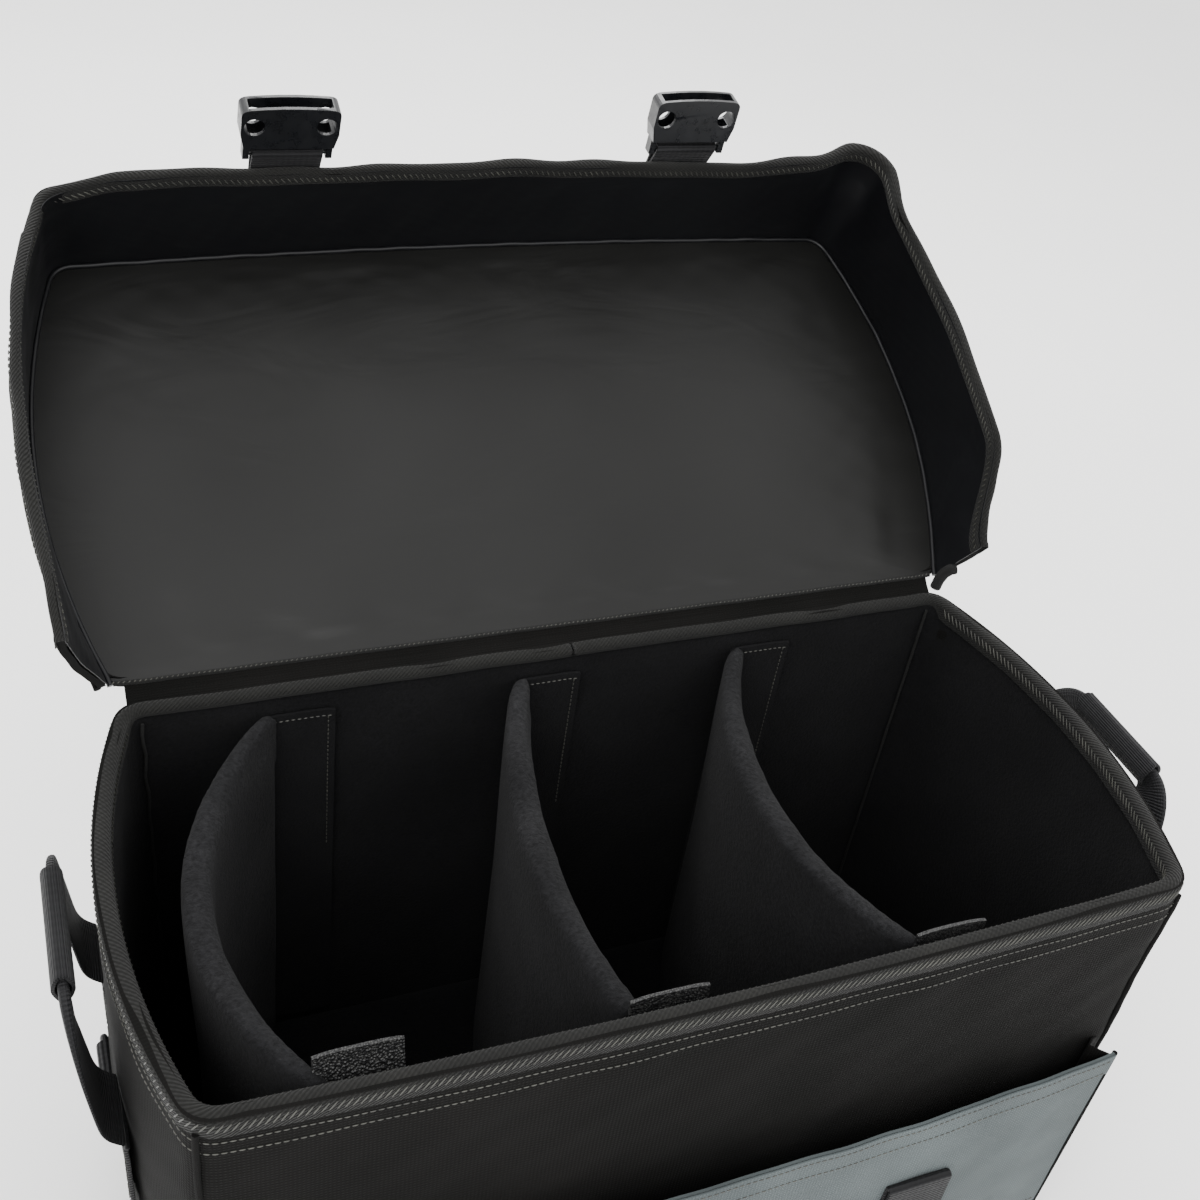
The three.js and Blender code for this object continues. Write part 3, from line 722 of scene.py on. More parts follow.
bpy.ops.object.select_all(action="DESELECT")
bpy.ops.mesh.primitive_uv_sphere_add(segments=5, ring_count=4, radius=1)
bpy.ops.object.transform_apply(scale=True)
spindle = bpy.context.object
spindle_points = np.array([v.co for v in spindle.data.vertices])[:, [2, 0, 1]]
spindle_faces = [tuple(p.vertices) for p in spindle.data.polygons]
bpy.data.objects.remove(spindle)


def stitch_mesh(name, places, directions, normals, length, radius):
    """One spindle of thread for each place, lying along its direction and proud of the cloth."""
    places, directions, normals = (np.asarray(a, float) for a in (places, directions, normals))
    directions = directions / np.linalg.norm(directions, axis=1)[:, None]
    normals = normals - (normals * directions).sum(axis=1)[:, None] * directions
    normals = normals / np.linalg.norm(normals, axis=1)[:, None]
    across = np.cross(normals, directions)
    frames = np.stack([directions * length / 2, across * radius, normals * radius], axis=1)
    points = places[:, None, :] + np.einsum("pk,nkd->npd", spindle_points, frames)
    count = len(spindle_points)
    faces = [tuple(i + n * count for i in face) for n in range(len(places)) for face in spindle_faces]
    mesh = bpy.data.meshes.new(name)
    mesh.from_pydata(metres(points).reshape(-1, 3).tolist(), [], faces)
    obj = bpy.data.objects.new(name, mesh)
    bpy.context.scene.collection.objects.link(obj)
    edit_all(obj, (bpy.ops.mesh.normals_make_consistent, dict(inside=False)))
    return obj


def seam_frames(line, normals, pitch, closed=False):
    """Evenly spaced places, directions and normals along a seam."""
    line, normals = np.asarray(line, float), np.asarray(normals, float)
    total = line_length(np.vstack([line, line[:1]]) if closed else line)
    count = max(3, int(round(total / pitch)))
    both = resample(np.hstack([line, normals * 1e-6]), count, closed)
    places, normals = both[:, :3], both[:, 3:] * 1e6
    ahead = np.roll(places, -1, axis=0) - np.roll(places, 1, axis=0)
    if not closed:
        ahead[0], ahead[-1] = places[1] - places[0], places[-1] - places[-2]
    return places, ahead / np.linalg.norm(ahead, axis=1)[:, None], normals


def seam(name, line, normals, pitch=SEAM_PITCH, slant=0.0, closed=False, length=STITCH_LENGTH,
         radius=THREAD_RADIUS):
    """A row of stitches along a line; slant turns each one across the seam, as in whipping."""
    places, ahead, normals = seam_frames(line, normals, pitch, closed)
    turned = ahead * math.cos(slant) + np.cross(normals, ahead) * math.sin(slant)
    return stitch_mesh(name, places, turned, normals, length, radius)


def joined(name, objects):
    """Joins several meshes into one piece."""
    bpy.ops.object.select_all(action="DESELECT")
    for obj in objects:
        obj.select_set(True)
    bpy.context.view_layer.objects.active = objects[0]
    bpy.ops.object.join()
    objects[0].name = name
    return objects[0]


print("one stitch has", len(spindle_faces), "faces")

# %% [markdown]
# ## The rim
# A twill tape is folded over the raw top of the wall, and sewn through. Its fold is full and round because
# the foam fills it. Slanting whip stitches cross it all the way round, and two straight rows hold it below,
# the lower one a little out of line, as it would be from a hand-fed machine.

# %% Rim binding
BINDING_DEPTH = 11
RIM_FOLD = 3.2


def rim_height(x, y):
    """The top of the rim: it lifts a little at the corners and is never quite level."""
    corner = smooth(0.9, 1.0, np.abs(x) / (LENGTH / 2)) * smooth(0.8, 1.0, np.abs(y) / (DEPTH / 2))
    return HEIGHT - 1.5 + 0.8 * corner + 0.5 * crumple(x, y, 0, 40, 5.0)


rim_half = LINING / 2 + 0.7
rim_loop = plan_loop(LINING / 2, 9, 720)
rim_normal = outward(rim_loop)


def tape_fold(v, leg_share, height):
    """Lays a tape over an edge. Returns its side of the edge, its rise over it and the reach of its legs."""
    turn = np.clip((v - leg_share) / (1 - 2 * leg_share), 0, 1) * np.pi
    side = np.where(v < leg_share, 1.0, np.where(v > 1 - leg_share, -1.0, np.cos(turn)))
    fold = np.where((v >= leg_share) & (v <= 1 - leg_share), np.sin(turn) * height, 0)
    outer_leg = np.clip((leg_share - v) / leg_share, 0, 1)
    inner_leg = np.clip((v - 1 + leg_share) / leg_share, 0, 1)
    return side, fold, outer_leg, inner_leg


def rim_place(u, v):
    """The tape over the rim. Its inner leg is short at the back, where the lid's hinge cloth lies."""
    x, y = on_loop(rim_loop, u)
    nx, ny = on_loop(rim_normal, u)
    top = rim_height(x, y)
    side, fold, outer_leg, inner_leg = tape_fold(v, 0.32, RIM_FOLD)
    at_back = smooth(DEPTH / 2 - 16, DEPTH / 2 - 6, y)
    leg = (outer_leg + inner_leg * (1 - 0.8 * at_back)) * (BINDING_DEPTH - RIM_FOLD)
    wave = 0.35 * np.sin(u * 1400) * (leg > 3)
    reach = (rim_half + wave * 0.5) * side
    return x + nx * reach, y + ny * reach, top - RIM_FOLD + fold - leg - np.abs(wave)


rim_binding = cut_cloth("rim_tape", 480, 18, rim_place, (loop_length, 2 * BINDING_DEPTH + 10))
apply_modifier(rim_binding, "SOLIDIFY", thickness=0.8 * MM, offset=-1)
close_up(rim_binding)
finish_piece(rim_binding, "bag", binding_tape, ("rim_binding",))


def ring_line(loop, normal, reach, height, drop=0.0):
    """A line round the bag at a distance out from an outline, under the rim by a drop."""
    points = loop + normal * reach
    z = height(loop[:, 0], loop[:, 1]) - drop
    return np.column_stack([points, z]), np.column_stack([normal, np.zeros(len(normal))])


def wall_line(drop, lift):
    """A line round the wall under the rim, lifted off the cloth by a little, and its normals."""
    u = np.linspace(0, 1, 900)[:-1]
    x, y = on_loop(outer_loop, u)
    rise = (rim_height(x, y) - drop - FOOT_RADIUS) / (HEIGHT - 2 - FOOT_RADIUS)
    v = FOOT_SHARE + (1 - FOOT_SHARE) * rise
    nx, ny = on_loop(outer_normal, u)
    normals = np.column_stack([nx, ny, np.zeros(len(u))])
    return np.column_stack(wall_place(u, v)) + normals * lift, normals


rim_out, out_normals = ring_line(rim_loop, rim_normal, rim_half + 0.15, rim_height, 5.2)
rim_in, in_normals = ring_line(rim_loop, -rim_normal, rim_half + 0.15, rim_height, 5.0)
WHIP = dict(pitch=3.1, length=6.5)
WHIP_SLANT = math.radians(58)
whip_out = seam("whip_out", rim_out, out_normals, slant=WHIP_SLANT, closed=True, **WHIP)
off_back = rim_in[:, 1] < DEPTH / 2 - 18
whip_in = seam("whip_in", rim_in[off_back], in_normals[off_back], slant=-WHIP_SLANT, **WHIP)
rim_stitches = joined("rim_stitches", [
    whip_out, whip_in,
    seam("row_below", *wall_line(15.5, 0.15), closed=True),
    seam("second_row", *wall_line(23, 0.15), closed=True),
])
finish_piece(rim_stitches, "bag", thread)
print("rim:", len(rim_stitches.data.polygons), "faces of thread")

# %% [markdown]
# ## Corner seams and foot piping
# The wall's corners are joined by a seam that stands a little proud of the cloth outside. Inside, the seam
# allowance is bound with a narrow pale tape.

# %% Corner seams and piping
corner_pieces, inner_pieces = [], []
for side_x in (-1, 1):
    for side_y in (-1, 1):
        cx, cy = side_x * (LENGTH / 2 - 2.4), side_y * (DEPTH / 2 - 2.4)
        heights = np.linspace(9, HEIGHT - 11, 30)
        sway = 0.5 * crumple(cx, cy, heights, 25, 3.0)
        outer_line = [cx + side_x * (0.5 + sway), cy + side_y * (0.5 + sway), heights]
        corner_pieces.append(piping("outer_seam", np.column_stack(outer_line), 1.5))
        ix, iy = side_x * (LENGTH / 2 - LINING - 2.6), side_y * (DEPTH / 2 - LINING - 2.6)
        heights = np.linspace(BOARD_TOP, HEIGHT - 9, 40)
        sway = 1.3 * crumple(ix, iy, heights, 7, 6.0 + side_x)
        inner_pieces.append(piping("inner_seam", np.column_stack([ix + sway, iy + sway, heights]), 0.9))
corner_seams = joined("corner_seams", corner_pieces)
finish_piece(corner_seams, "bag", canvas)
inner_seams = joined("inner_corner_seams", inner_pieces)
finish_piece(inner_seams, "bag", binding_tape)

foot_line = np.column_stack([outer_loop + outer_normal * -1.0, np.full(len(outer_loop), 6.0)])
foot_piping = piping("foot_piping", foot_line, 2.2, closed=True)
finish_piece(foot_piping, "bag", canvas)

print("seams:", len(corner_seams.data.polygons), "faces")

# %% [markdown]
# ## Dividers
# Each divider is a slab of foam in a felt cover, a little too long for the bag, so it stays bowed.
# A slab of the right size is bent to its bow, and a short cloth simulation then fills it: the felt swells
# between its edges and creases where it is pinched, which is hard to draw by hand.
# The swelling is held to a couple of millimetres, because the foam is firm.

# %% Dividers, filled by simulation
def fill_out(obj, voxel_mm, pressure, most_mm):
    """Remeshes a closed pad, blows it up as cloth and holds each point near its start."""
    apply_modifier(obj, "REMESH", mode="VOXEL", voxel_size=voxel_mm * MM)
    start = np.array([v.co for v in obj.data.vertices])
    cloth = obj.modifiers.new("Cloth", "CLOTH")
    cloth.settings.quality = 4
    cloth.settings.mass = 0.15
    cloth.settings.use_pressure = True
    cloth.settings.uniform_pressure_force = pressure
    cloth.settings.effector_weights.gravity = 0
    cloth.settings.tension_stiffness = 20
    cloth.settings.compression_stiffness = 20
    cloth.settings.bending_stiffness = 1.5
    cloth.point_cache.frame_end = 14
    for frame_number in range(1, 15):
        bpy.context.scene.frame_set(frame_number)
    select_only(obj)
    bpy.ops.object.modifier_apply(modifier=cloth.name)
    moved = np.array([v.co for v in obj.data.vertices]) - start
    far = np.linalg.norm(moved, axis=1)[:, None] + 1e-9
    held = start + moved / far * most_mm * MM * np.tanh(far / (most_mm * MM))
    obj.data.vertices.foreach_set("co", held.ravel())
    obj.data.update()
    bpy.context.scene.frame_set(1)
    return obj


DIVIDERS = {
    "left": (-0.696, -0.775, -0.908),
    "middle": (-0.121, -0.208, -0.258),
    "right": (0.429, 0.396, 0.279),
}
for name, shares in DIVIDERS.items():
    node = name + "_divider"
    low, high = (metres_corner / MM for metres_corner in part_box(node))
    at_back, at_front, midway = (share * LENGTH / 2 for share in shares)
    bpy.ops.object.select_all(action="DESELECT")
    bpy.ops.mesh.primitive_cube_add(size=1)
    pad = bpy.context.object
    edit_all(pad, (bpy.ops.mesh.subdivide, dict(number_cuts=24)))
    unit = np.array([v.co for v in pad.data.vertices])
    length, height = high.y - low.y - 2, high.z - low.z - 1.5
    away = 0.5 - unit[:, 1]
    lean = 2.5 * np.sin(np.pi * away) * (unit[:, 2] + 0.5) * (1 if name == "middle" else -1)
    bow = at_back + (at_front - at_back) * away
    bow = bow + (midway - (at_back + at_front) / 2) * (1 - (2 * away - 1) ** 2) + lean
    top_sag = 2.0 * crumple(0, unit[:, 1] * length, 0, 36, midway) * (unit[:, 2] + 0.5)
    thick = 7.4 + 5.0 * smooth(0.0, 0.46, unit[:, 2])
    thick = thick * (1 - 0.2 * smooth(0.47, 0.5, np.abs(unit[:, 1])))
    dome = 4.5 * (1 - np.sqrt(1 - 0.98 * (2 * unit[:, 0]) ** 2)) * (unit[:, 2] > 0.499)
    placed = np.column_stack([
        bow + unit[:, 0] * thick,
        (low.y + high.y) / 2 + unit[:, 1] * length,
        (low.z + high.z) / 2 + unit[:, 2] * height + top_sag - dome,
    ])
    pad.data.vertices.foreach_set("co", metres(placed).ravel())
    fill_out(pad, 3.4, 3.0, 1.4)
    apply_modifier(pad, "SUBSURF", levels=1, render_levels=1)
    pad.name = name + "_divider_pad"
    finish_piece(pad, name + "_partition", felt, (node,), 80)
    print(pad.name, len(pad.data.polygons), "faces")

# %% [markdown]
# ## Hook tabs
# A flange folds out from each end of a divider, and grips the velour with its hooks. At the back its felt
# face shows. At the front the hook tape itself shows, because its top has come away and leans into the bag.

# %% Hook tabs
BOX_STITCH = dict(pitch=3.0, length=2.3, radius=0.38)


def stitched_box(name, corner, across, upright, normal, inset=3.0):
    """Stitches round a patch and from corner to corner. The patch is given by a corner and two sides."""
    corner, across, upright, normal = (np.asarray(a, float) for a in (corner, across, upright, normal))
    a = across / np.linalg.norm(across) * inset
    b = upright / np.linalg.norm(upright) * inset
    low_left, low_right = corner + a + b, corner + across - a + b
    high_left, high_right = corner + a + upright - b, corner + across - a + upright - b
    runs = [(low_left, low_right), (low_right, high_right), (high_right, high_left), (high_left, low_left),
            (low_left, high_right), (low_right, high_left)]
    rows = []
    for start, stop in runs:
        line = resample([start, stop], 12)
        rows.append(seam(name + "_row", line + normal * 0.15, np.tile(normal, (12, 1)), **BOX_STITCH))
    return joined(name, rows)


TAB_LEAN = {"left": 10.0, "middle": 3.0, "right": 2.5}
for name in DIVIDERS:
    for end in ("back", "front"):
        node = f"{name}_divider_{end}_tab"
        low, high = (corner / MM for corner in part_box(node))
        middle_y = (low.y + high.y) / 2
        inward = 1 if end == "front" else -1
        lean = TAB_LEAN[name] if end == "front" else 0.4
        top = HEIGHT - (4 if name == "left" else 7) if end == "front" else high.z

        def tab_place(u, v):
            x = low.x + (high.x - low.x) * u
            z = low.z + (top - low.z) * v
            curl = inward * (0.25 * np.sin(np.pi * u) + lean * smooth(0.86, 1, v))
            curl = curl + 0.15 * crumple(x, 0, z, 18, low.x)
            return x, middle_y + curl, z - 1.2 * (2 * u - 1) ** 4 * (v > 0.97)

        def tab_row(name, u, v):
            """Stitches on the tab's face, along the line given by its shares across and up it."""
            normals = np.tile([0.0, inward, 0.0], (30, 1))
            line = np.column_stack(tab_place(np.linspace(*u, 30), np.linspace(*v, 30))) + normals * 1.0
            return seam(name, line, normals, **BOX_STITCH)

        tab = cut_cloth(node + "_tape", 14, 90, tab_place, (high.x - low.x, top - low.z))
        apply_modifier(tab, "SOLIDIFY", thickness=1.7 * MM, offset=0)
        close_up(tab)
        face = hook_tape if end == "front" else flange_felt
        finish_piece(tab, name + "_partition", face, (node,), 40)
        rows = [tab_row("tab_row", (0.08, 0.92), (0.985, 0.985)),
                tab_row("tab_row", (0.9, 0.9), (0.6, 0.98))]
        if end == "front":
            rows.append(tab_row("tab_row", (0.1, 0.1), (0.93, 0.98)))
            rows.append(tab_row("tab_row", (0.08, 0.92), (0.93, 0.93)))
        finish_piece(joined(node + "_stitches", rows), name + "_partition", thread)
print("six hook tabs")

# %% [markdown]
# ## The lid, drawn shut and swung open
# The lid is a shallow tray that fits over the rim. It is easiest to draw where it was sewn to fit, shut,
# so every lid piece is made in that place and then turned about the hinge line to where it stands open.
# Its side skirts flare near the hinge, to pass outside the bowed ends on the way down.

# %% Lid helpers
LID_LOW = HEIGHT + 1.2
SKIRT_LOW = HEIGHT - SKIRT


def swung(x, y, z):
    """A point of the shut lid, turned to its open place."""
    c, s = math.cos(-LID_OPEN), math.sin(-LID_OPEN)
    dy, dz = y - HINGE[0], z - HINGE[1]
    return x, HINGE[0] + dy * c - dz * s, HINGE[1] + dy * s + dz * c


def swung_points(points):
    points = np.asarray(points, float)
    return np.stack(swung(points[:, 0], points[:, 1], points[:, 2]), axis=1)


def swung_normals(normals):
    c, s = math.cos(-LID_OPEN), math.sin(-LID_OPEN)
    x, y, z = np.asarray(normals, float).T
    return np.stack([x, y * c - z * s, y * s + z * c], axis=1)


def flare(y, z):
    """How far a side skirt stands out at a point, so that it clears the bow it swings past."""
    reach = np.hypot(HINGE[0] - y, HINGE[1] - z)
    passed = np.maximum(LENGTH / 2, end_x(np.maximum(0, HINGE[0] - reach)))
    own = np.maximum(LENGTH / 2, end_x(y))
    return np.where(y > 0, passed - own, 0)


def skirt_line(inset, corner, count):
    """The skirt's outline from the hinge at the left, round the front, to the hinge at the right."""
    back, front, half = DEPTH / 2 + 1.6, -DEPTH / 2 + inset, LENGTH / 2 - inset
    y = np.linspace(back, front + corner, 60)
    side = np.stack([np.maximum(end_x(y) - inset, half), y], axis=1)
    x = np.linspace(-half + corner, half - corner, 60)
    near = np.stack([x, front_y(x) + inset], axis=1)
    t = np.linspace(0, 1, 12)[1:-1, None]

    def bend(start, point, stop):
        return (1 - t) ** 2 * np.array(start) + 2 * t * (1 - t) * np.array(point) + t ** 2 * np.array(stop)

    left, right = side * [-1, 1], side[::-1]
    return resample(np.vstack([left, bend(left[-1], (-half, front), near[0]), near,
                               bend(near[-1], (half, front), right[0]), right]), count)


def along_line(line, u):
    shares = np.linspace(0, 1, len(line))
    return np.interp(u, shares, line[:, 0]), np.interp(u, shares, line[:, 1])


def line_normals(line):
    ahead = np.gradient(line, axis=0)
    normal = np.stack([ahead[:, 1], -ahead[:, 0]], axis=1)
    normal /= np.linalg.norm(normal, axis=1)[:, None]
    middle = len(line) // 2
    return normal if normal[middle, 1] < 0 else -normal


def skirt_depth(x, y):
    """The skirt is shallow at its left corner, deep at the right one, and cut away at the right hinge."""
    front = smooth(60, 118, -y)
    depth = SKIRT - 9 * smooth(205, 240, -x) * front + 5 * smooth(150, 236, x) * front
    depth = depth - 34 * smooth(64, 124, y) * (x > 0) - 3 * smooth(100, 124, y) * (x < 0)
    return depth + 1.6 * crumple(x, y, 0, 42, 8.0)


def corner_wing(x, y, share):
    """The skirt's front right corner is left open a little, and its edge stands out there like a wing."""
    return 13 * np.exp(-((x - 238) ** 2 + (y + 118) ** 2) / 420) * smooth(0.1, 1, share)


lid_turn = np.array(Matrix.Rotation(LID_OPEN, 3, "X")).T
print("skirt", SKIRT, "mm deep; flare at its rear corner", round(float(flare(124, SKIRT_LOW)), 1), "mm")

# %% [markdown]
# ## Lid panel
# Outside, the lid is canvas over foam, crowned by the foam and pulled down at its edge by a piped seam.
# Inside, it is lined with the coated nylon, which hangs a little slack and ripples where it is caught.

# %% Lid pad and lining
lid_loop = plan_loop(-8.3, 16, 480, back_inset=-1.8)


def lid_crown(x, y, v):
    dents = 0.9 * crumple(x * v, y * v, 0, 48, 9.0) * (1 - v)
    return LID_LOW + 8.2 + 5.5 * (1 - v ** 2.2) - 5.4 * smooth(0.965, 1, v) + dents


lid_outside = disc_place(lid_loop, lid_crown)
lid_pad = cut_cloth("lid_pad", 300, 46, lambda u, v: swung(*lid_outside(u, v)), (1, 1))
map_flat(lid_pad, lid_turn.T)
close_up(lid_pad)
edit_all(lid_pad, (bpy.ops.mesh.flip_normals, {}))
apply_modifier(lid_pad, "SOLIDIFY", thickness=5.2 * MM, offset=1)
close_up(lid_pad)
finish_piece(lid_pad, "lid", canvas, ("lid_panel",))

lining_edge = plan_loop(-2.6, 12, 480, back_inset=-2.4)


def lid_sag(x, y, v):
    px, py = x * v, y * v
    slack = 1.3 * crumple(px, py, 0, 55, 10.0) + 0.8 * crumple(py, px, 0, 18, 11.0) * smooth(0.6, 0.9, v)
    pulled = 1.2 * np.sin(px / 9) * smooth(0.76, 0.86, v) * smooth(50, 90, py)
    return LID_LOW - 0.1 - 1.2 * (1 - v ** 6) + (slack + pulled) * (1 - smooth(0.86, 0.91, v)) * 0.55


lid_inside = disc_place(lining_edge, lid_sag)
lid_lining = cut_cloth("lid_lining_sheet", 300, 60, lambda u, v: swung(*lid_inside(u, v)), (1, 1))
map_flat(lid_lining, lid_turn.T)
close_up(lid_lining)
apply_modifier(lid_lining, "SOLIDIFY", thickness=0.6 * MM, offset=0)
finish_piece(lid_lining, "lid", lid_nylon, ("lid_lining",))
print("lid pad", len(lid_pad.data.polygons), "and lining", len(lid_lining.data.polygons), "faces")

# %% [markdown]
# ## Lid skirt
# The skirt is one strip of canvas over foam, taken round the front and both ends. It is lined with the
# lid's nylon, glossier and given a darker colour as painted shade, and loose enough to crease. Strip and
# panel meet in piping, inside and outside.

# %% Skirt, its lining and its piping
SKIRT_COLUMNS = 420


def skirt_place(inset, low_trim, swell):
    line = skirt_line(inset, 13, 600)
    normals = line_normals(line)

    def place(u, v):
        x, y = along_line(line, u)
        nx, ny = along_line(normals, u)
        depth = skirt_depth(x, y) - low_trim
        z = LID_LOW + 0.4 - depth * v
        out = swell(x, y, z, v) + corner_wing(x, y, v)
        stand = flare(y, z) * np.sign(x) * (np.abs(x) > LENGTH / 2 - 12)
        return swung(x + nx * out + stand, y + ny * out, z)
    return place, line_length(line)


def outer_swell(x, y, z, v):
    wave = 1.3 * crumple(x, y, z, 30, 12.0) + 0.9 * np.sin(x / 31 + 1) * v ** 2 * (y < -100)
    return 1.6 * np.sin(np.pi * v) + wave * smooth(0.05, 0.3, v)


def lining_swell(x, y, z, v):
    creases = 0.5 * crumple(x, y, z, 9, 13.0) + 1.5 * crumple(x + z, y - z, z, 26, 14.0)
    return -0.25 + 0.75 * creases * smooth(0, 0.25, v) * (1 - smooth(0.68, 0.85, v))


outside, skirt_run = skirt_place(-8.3, 1.0, outer_swell)
skirt_shell = cut_cloth("skirt_shell", SKIRT_COLUMNS, 26, outside, (skirt_run, SKIRT))
edit_all(skirt_shell, (bpy.ops.mesh.normals_make_consistent, dict(inside=False)))
apply_modifier(skirt_shell, "SOLIDIFY", thickness=4.0 * MM, offset=-1)
close_up(skirt_shell)
finish_piece(skirt_shell, "lid", canvas,
             ("lid_front_skirt", "lid_left_skirt", "lid_right_skirt", "lid_left_corner_seam",
              "lid_right_corner_seam"))
inside, _ = skirt_place(-3.9, 1.0, lining_swell)
skirt_lining = cut_cloth("skirt_lining", SKIRT_COLUMNS, 34, inside, (skirt_run, SKIRT))
apply_modifier(skirt_lining, "SOLIDIFY", thickness=0.5 * MM, offset=0)
finish_piece(skirt_lining, "lid", skirt_nylon)

welt_line = skirt_line(-8.6, 13, 400)
welt = piping("lid_welt", swung_points(np.column_stack([welt_line, np.full(400, LID_LOW + 1.2)])), 1.9)
finish_piece(welt, "lid", canvas)
ridge_line = skirt_line(-2.4, 11, 400)
ridge_sway = 0.5 * crumple(ridge_line[:, 0], ridge_line[:, 1], 0, 16, 15.0)
ridge = piping("lining_ridge", swung_points(np.column_stack([ridge_line, LID_LOW - 1.2 + ridge_sway])), 1.5)
finish_piece(ridge, "lid", skirt_nylon)
print("skirt", len(skirt_shell.data.polygons), "and its lining", len(skirt_lining.data.polygons), "faces")

# %% [markdown]
# ## Edge tape of the lid
# The skirt's raw edge is bound like the rim, with a folded tape and slanting stitches.

# %% Lid edge binding
EDGE_DEPTH = 10
EDGE_FOLD = 2.4
edge_line = skirt_line(-6.0, 13, 600)
edge_normals = line_normals(edge_line)
edge_half = 2.9


def edge_place(u, v):
    """The tape over the skirt's edge, before the lid is swung open. It waves with the skirt."""
    x, y = along_line(edge_line, u)
    nx, ny = along_line(edge_normals, u)
    side, fold, outer_leg, inner_leg = tape_fold(v, 0.33, EDGE_FOLD)
    leg = (outer_leg + inner_leg) * (EDGE_DEPTH - EDGE_FOLD)
    z = LID_LOW + 0.4 - skirt_depth(x, y) + 2.0 - fold + leg
    wave = 0.9 * np.sin(x / 31 + 1) * (y < -100) + 1.3 * crumple(x, y, z, 30, 12.0)
    out = (edge_half - 0.1 * (side < 0)) * side + np.where(side > 0, wave, 0.1 * wave)
    out = out + corner_wing(x, y, (LID_LOW + 0.4 - z) / skirt_depth(x, y))
    stand = flare(y, z) * np.sign(x) * (np.abs(x) > LENGTH / 2 - 12)
    return x + nx * out + stand, y + ny * out, z


def edge_swung(u, v):
    return swung(*edge_place(u, v))


edge_tape = cut_cloth("lid_edge_tape", 520, 16, edge_swung, (skirt_run, 2 * EDGE_DEPTH + 8))
edit_all(edge_tape, (bpy.ops.mesh.normals_make_consistent, dict(inside=False)))
apply_modifier(edge_tape, "SOLIDIFY", thickness=0.7 * MM, offset=-1)
close_up(edge_tape)
finish_piece(edge_tape, "lid", binding_tape, ("lid_edge_binding",))


def edge_row(share, sign, lift=0.1):
    """A line along the tape, one share of the way across it, and its normals."""
    u = np.linspace(0.002, 0.998, 500)
    points = np.column_stack(edge_place(u, np.full(500, share)))
    nx, ny = along_line(edge_normals, u)
    normals = np.column_stack([nx, ny, np.zeros(500)]) * sign
    return swung_points(points + normals * lift), swung_normals(normals)


edge_stitches = joined("lid_edge_stitches", [
    seam("edge_whip_out", *edge_row(0.16, 1), pitch=3.4, slant=math.radians(55), length=5.0),
    seam("edge_whip_in", *edge_row(0.84, -1), pitch=3.4, slant=math.radians(-55), length=5.0),
    seam("edge_row_out", *edge_row(0.02, 1, 0.5), pitch=3.6),
])
finish_piece(edge_stitches, "lid", thread)
print("edge tape:", len(edge_stitches.data.polygons), "faces of thread")

# %% [markdown]
# ## The hinge
# The lid hangs on a strip of canvas sewn along the top of the back wall. It follows the bag at one edge and
# the lid at the other, and its section runs between them. The lid's own seam is a rolled tape beside the
# rim, and the tape's doubled end stands up at the right like a small horn.

# %% Hinge cloth and its tapes
def ribbon_x(name, profile, half, columns, cut_width, thickness, wander=0.0, seed=0.0):
    """A strip along X whose section is a line of (y, z) points."""
    profile = resample(profile, 24)

    def place(u, v):
        x = (2 * u - 1) * half
        y = np.interp(v, np.linspace(0, 1, 24), profile[:, 0])
        z = np.interp(v, np.linspace(0, 1, 24), profile[:, 1])
        sway = wander * crumple(x, 0, z, 16, seed) * np.sin(np.pi * v)
        return x, y + sway, z + sway
    obj = cut_cloth(name, columns, 20, place, (2 * half, cut_width))
    apply_modifier(obj, "SOLIDIFY", thickness=thickness * MM, offset=0)
    return close_up(obj)


def lid_yz(y, z):
    _, ny, nz = swung(0.0, y, z)
    return ny, nz


strip_half = LENGTH / 2 - 13
strip_profile = [
    (DEPTH / 2 + 1.6, HEIGHT - 30), (DEPTH / 2 + 1.6, HEIGHT - 8), (DEPTH / 2 + 2.6, HEIGHT - 1),
    (HINGE[0] + 0.6, HINGE[1] + 0.4),
    lid_yz(DEPTH / 2 + 3, LID_LOW + 6), lid_yz(DEPTH / 2 - 4, LID_LOW + 8.8),
]
hinge_cloth = ribbon_x("hinge_cloth", strip_profile, strip_half, 160, 60, 1.0, 0.5, 16.0)
finish_piece(hinge_cloth, None, canvas, ("hinge_strip",))
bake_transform(hinge_cloth)
inner_profile = [
    (DEPTH / 2 - 0.6, HEIGHT - 3.2), (DEPTH / 2 + 1.8, HEIGHT - 1.4), (HINGE[0] - 0.9, HINGE[1] - 0.9),
    lid_yz(DEPTH / 2 + 2.6, LID_LOW - 0.6), lid_yz(DEPTH / 2 + 0.6, LID_LOW - 0.6),
]
inner_hinge = ribbon_x("inner_hinge_tape", inner_profile, LENGTH / 2 - 4, 160, 16, 0.7, 0.3, 17.0)
finish_piece(inner_hinge, None, canvas)
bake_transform(inner_hinge)
hinge_row = np.column_stack([np.linspace(-strip_half, strip_half, 300),
                             np.full(300, DEPTH / 2 + 2.2), np.full(300, HEIGHT - 26.0)])
seam_x = np.linspace(-LENGTH / 2 - 1, LENGTH / 2 - 1, 300)
seam_y = DEPTH / 2 + 1.1 - 0.5 * smooth(226, 240, np.abs(seam_x)) + 0.2 * crumple(seam_x, 0, 0, 20, 21.0)
roll_middle = np.column_stack([seam_x, seam_y, np.full(300, LID_LOW - 0.9)])
hinge_roll = piping("lid_hinge_roll", swung_points(roll_middle), 1.35)
finish_piece(hinge_roll, "lid", binding_tape)
roll_top = np.column_stack([seam_x, seam_y, np.full(300, LID_LOW - 2.3)])
hinge_stitches = seam("hinge_stitches", hinge_row, np.tile([0, 1, 0], (300, 1)))
finish_piece(hinge_stitches, "bag", thread)
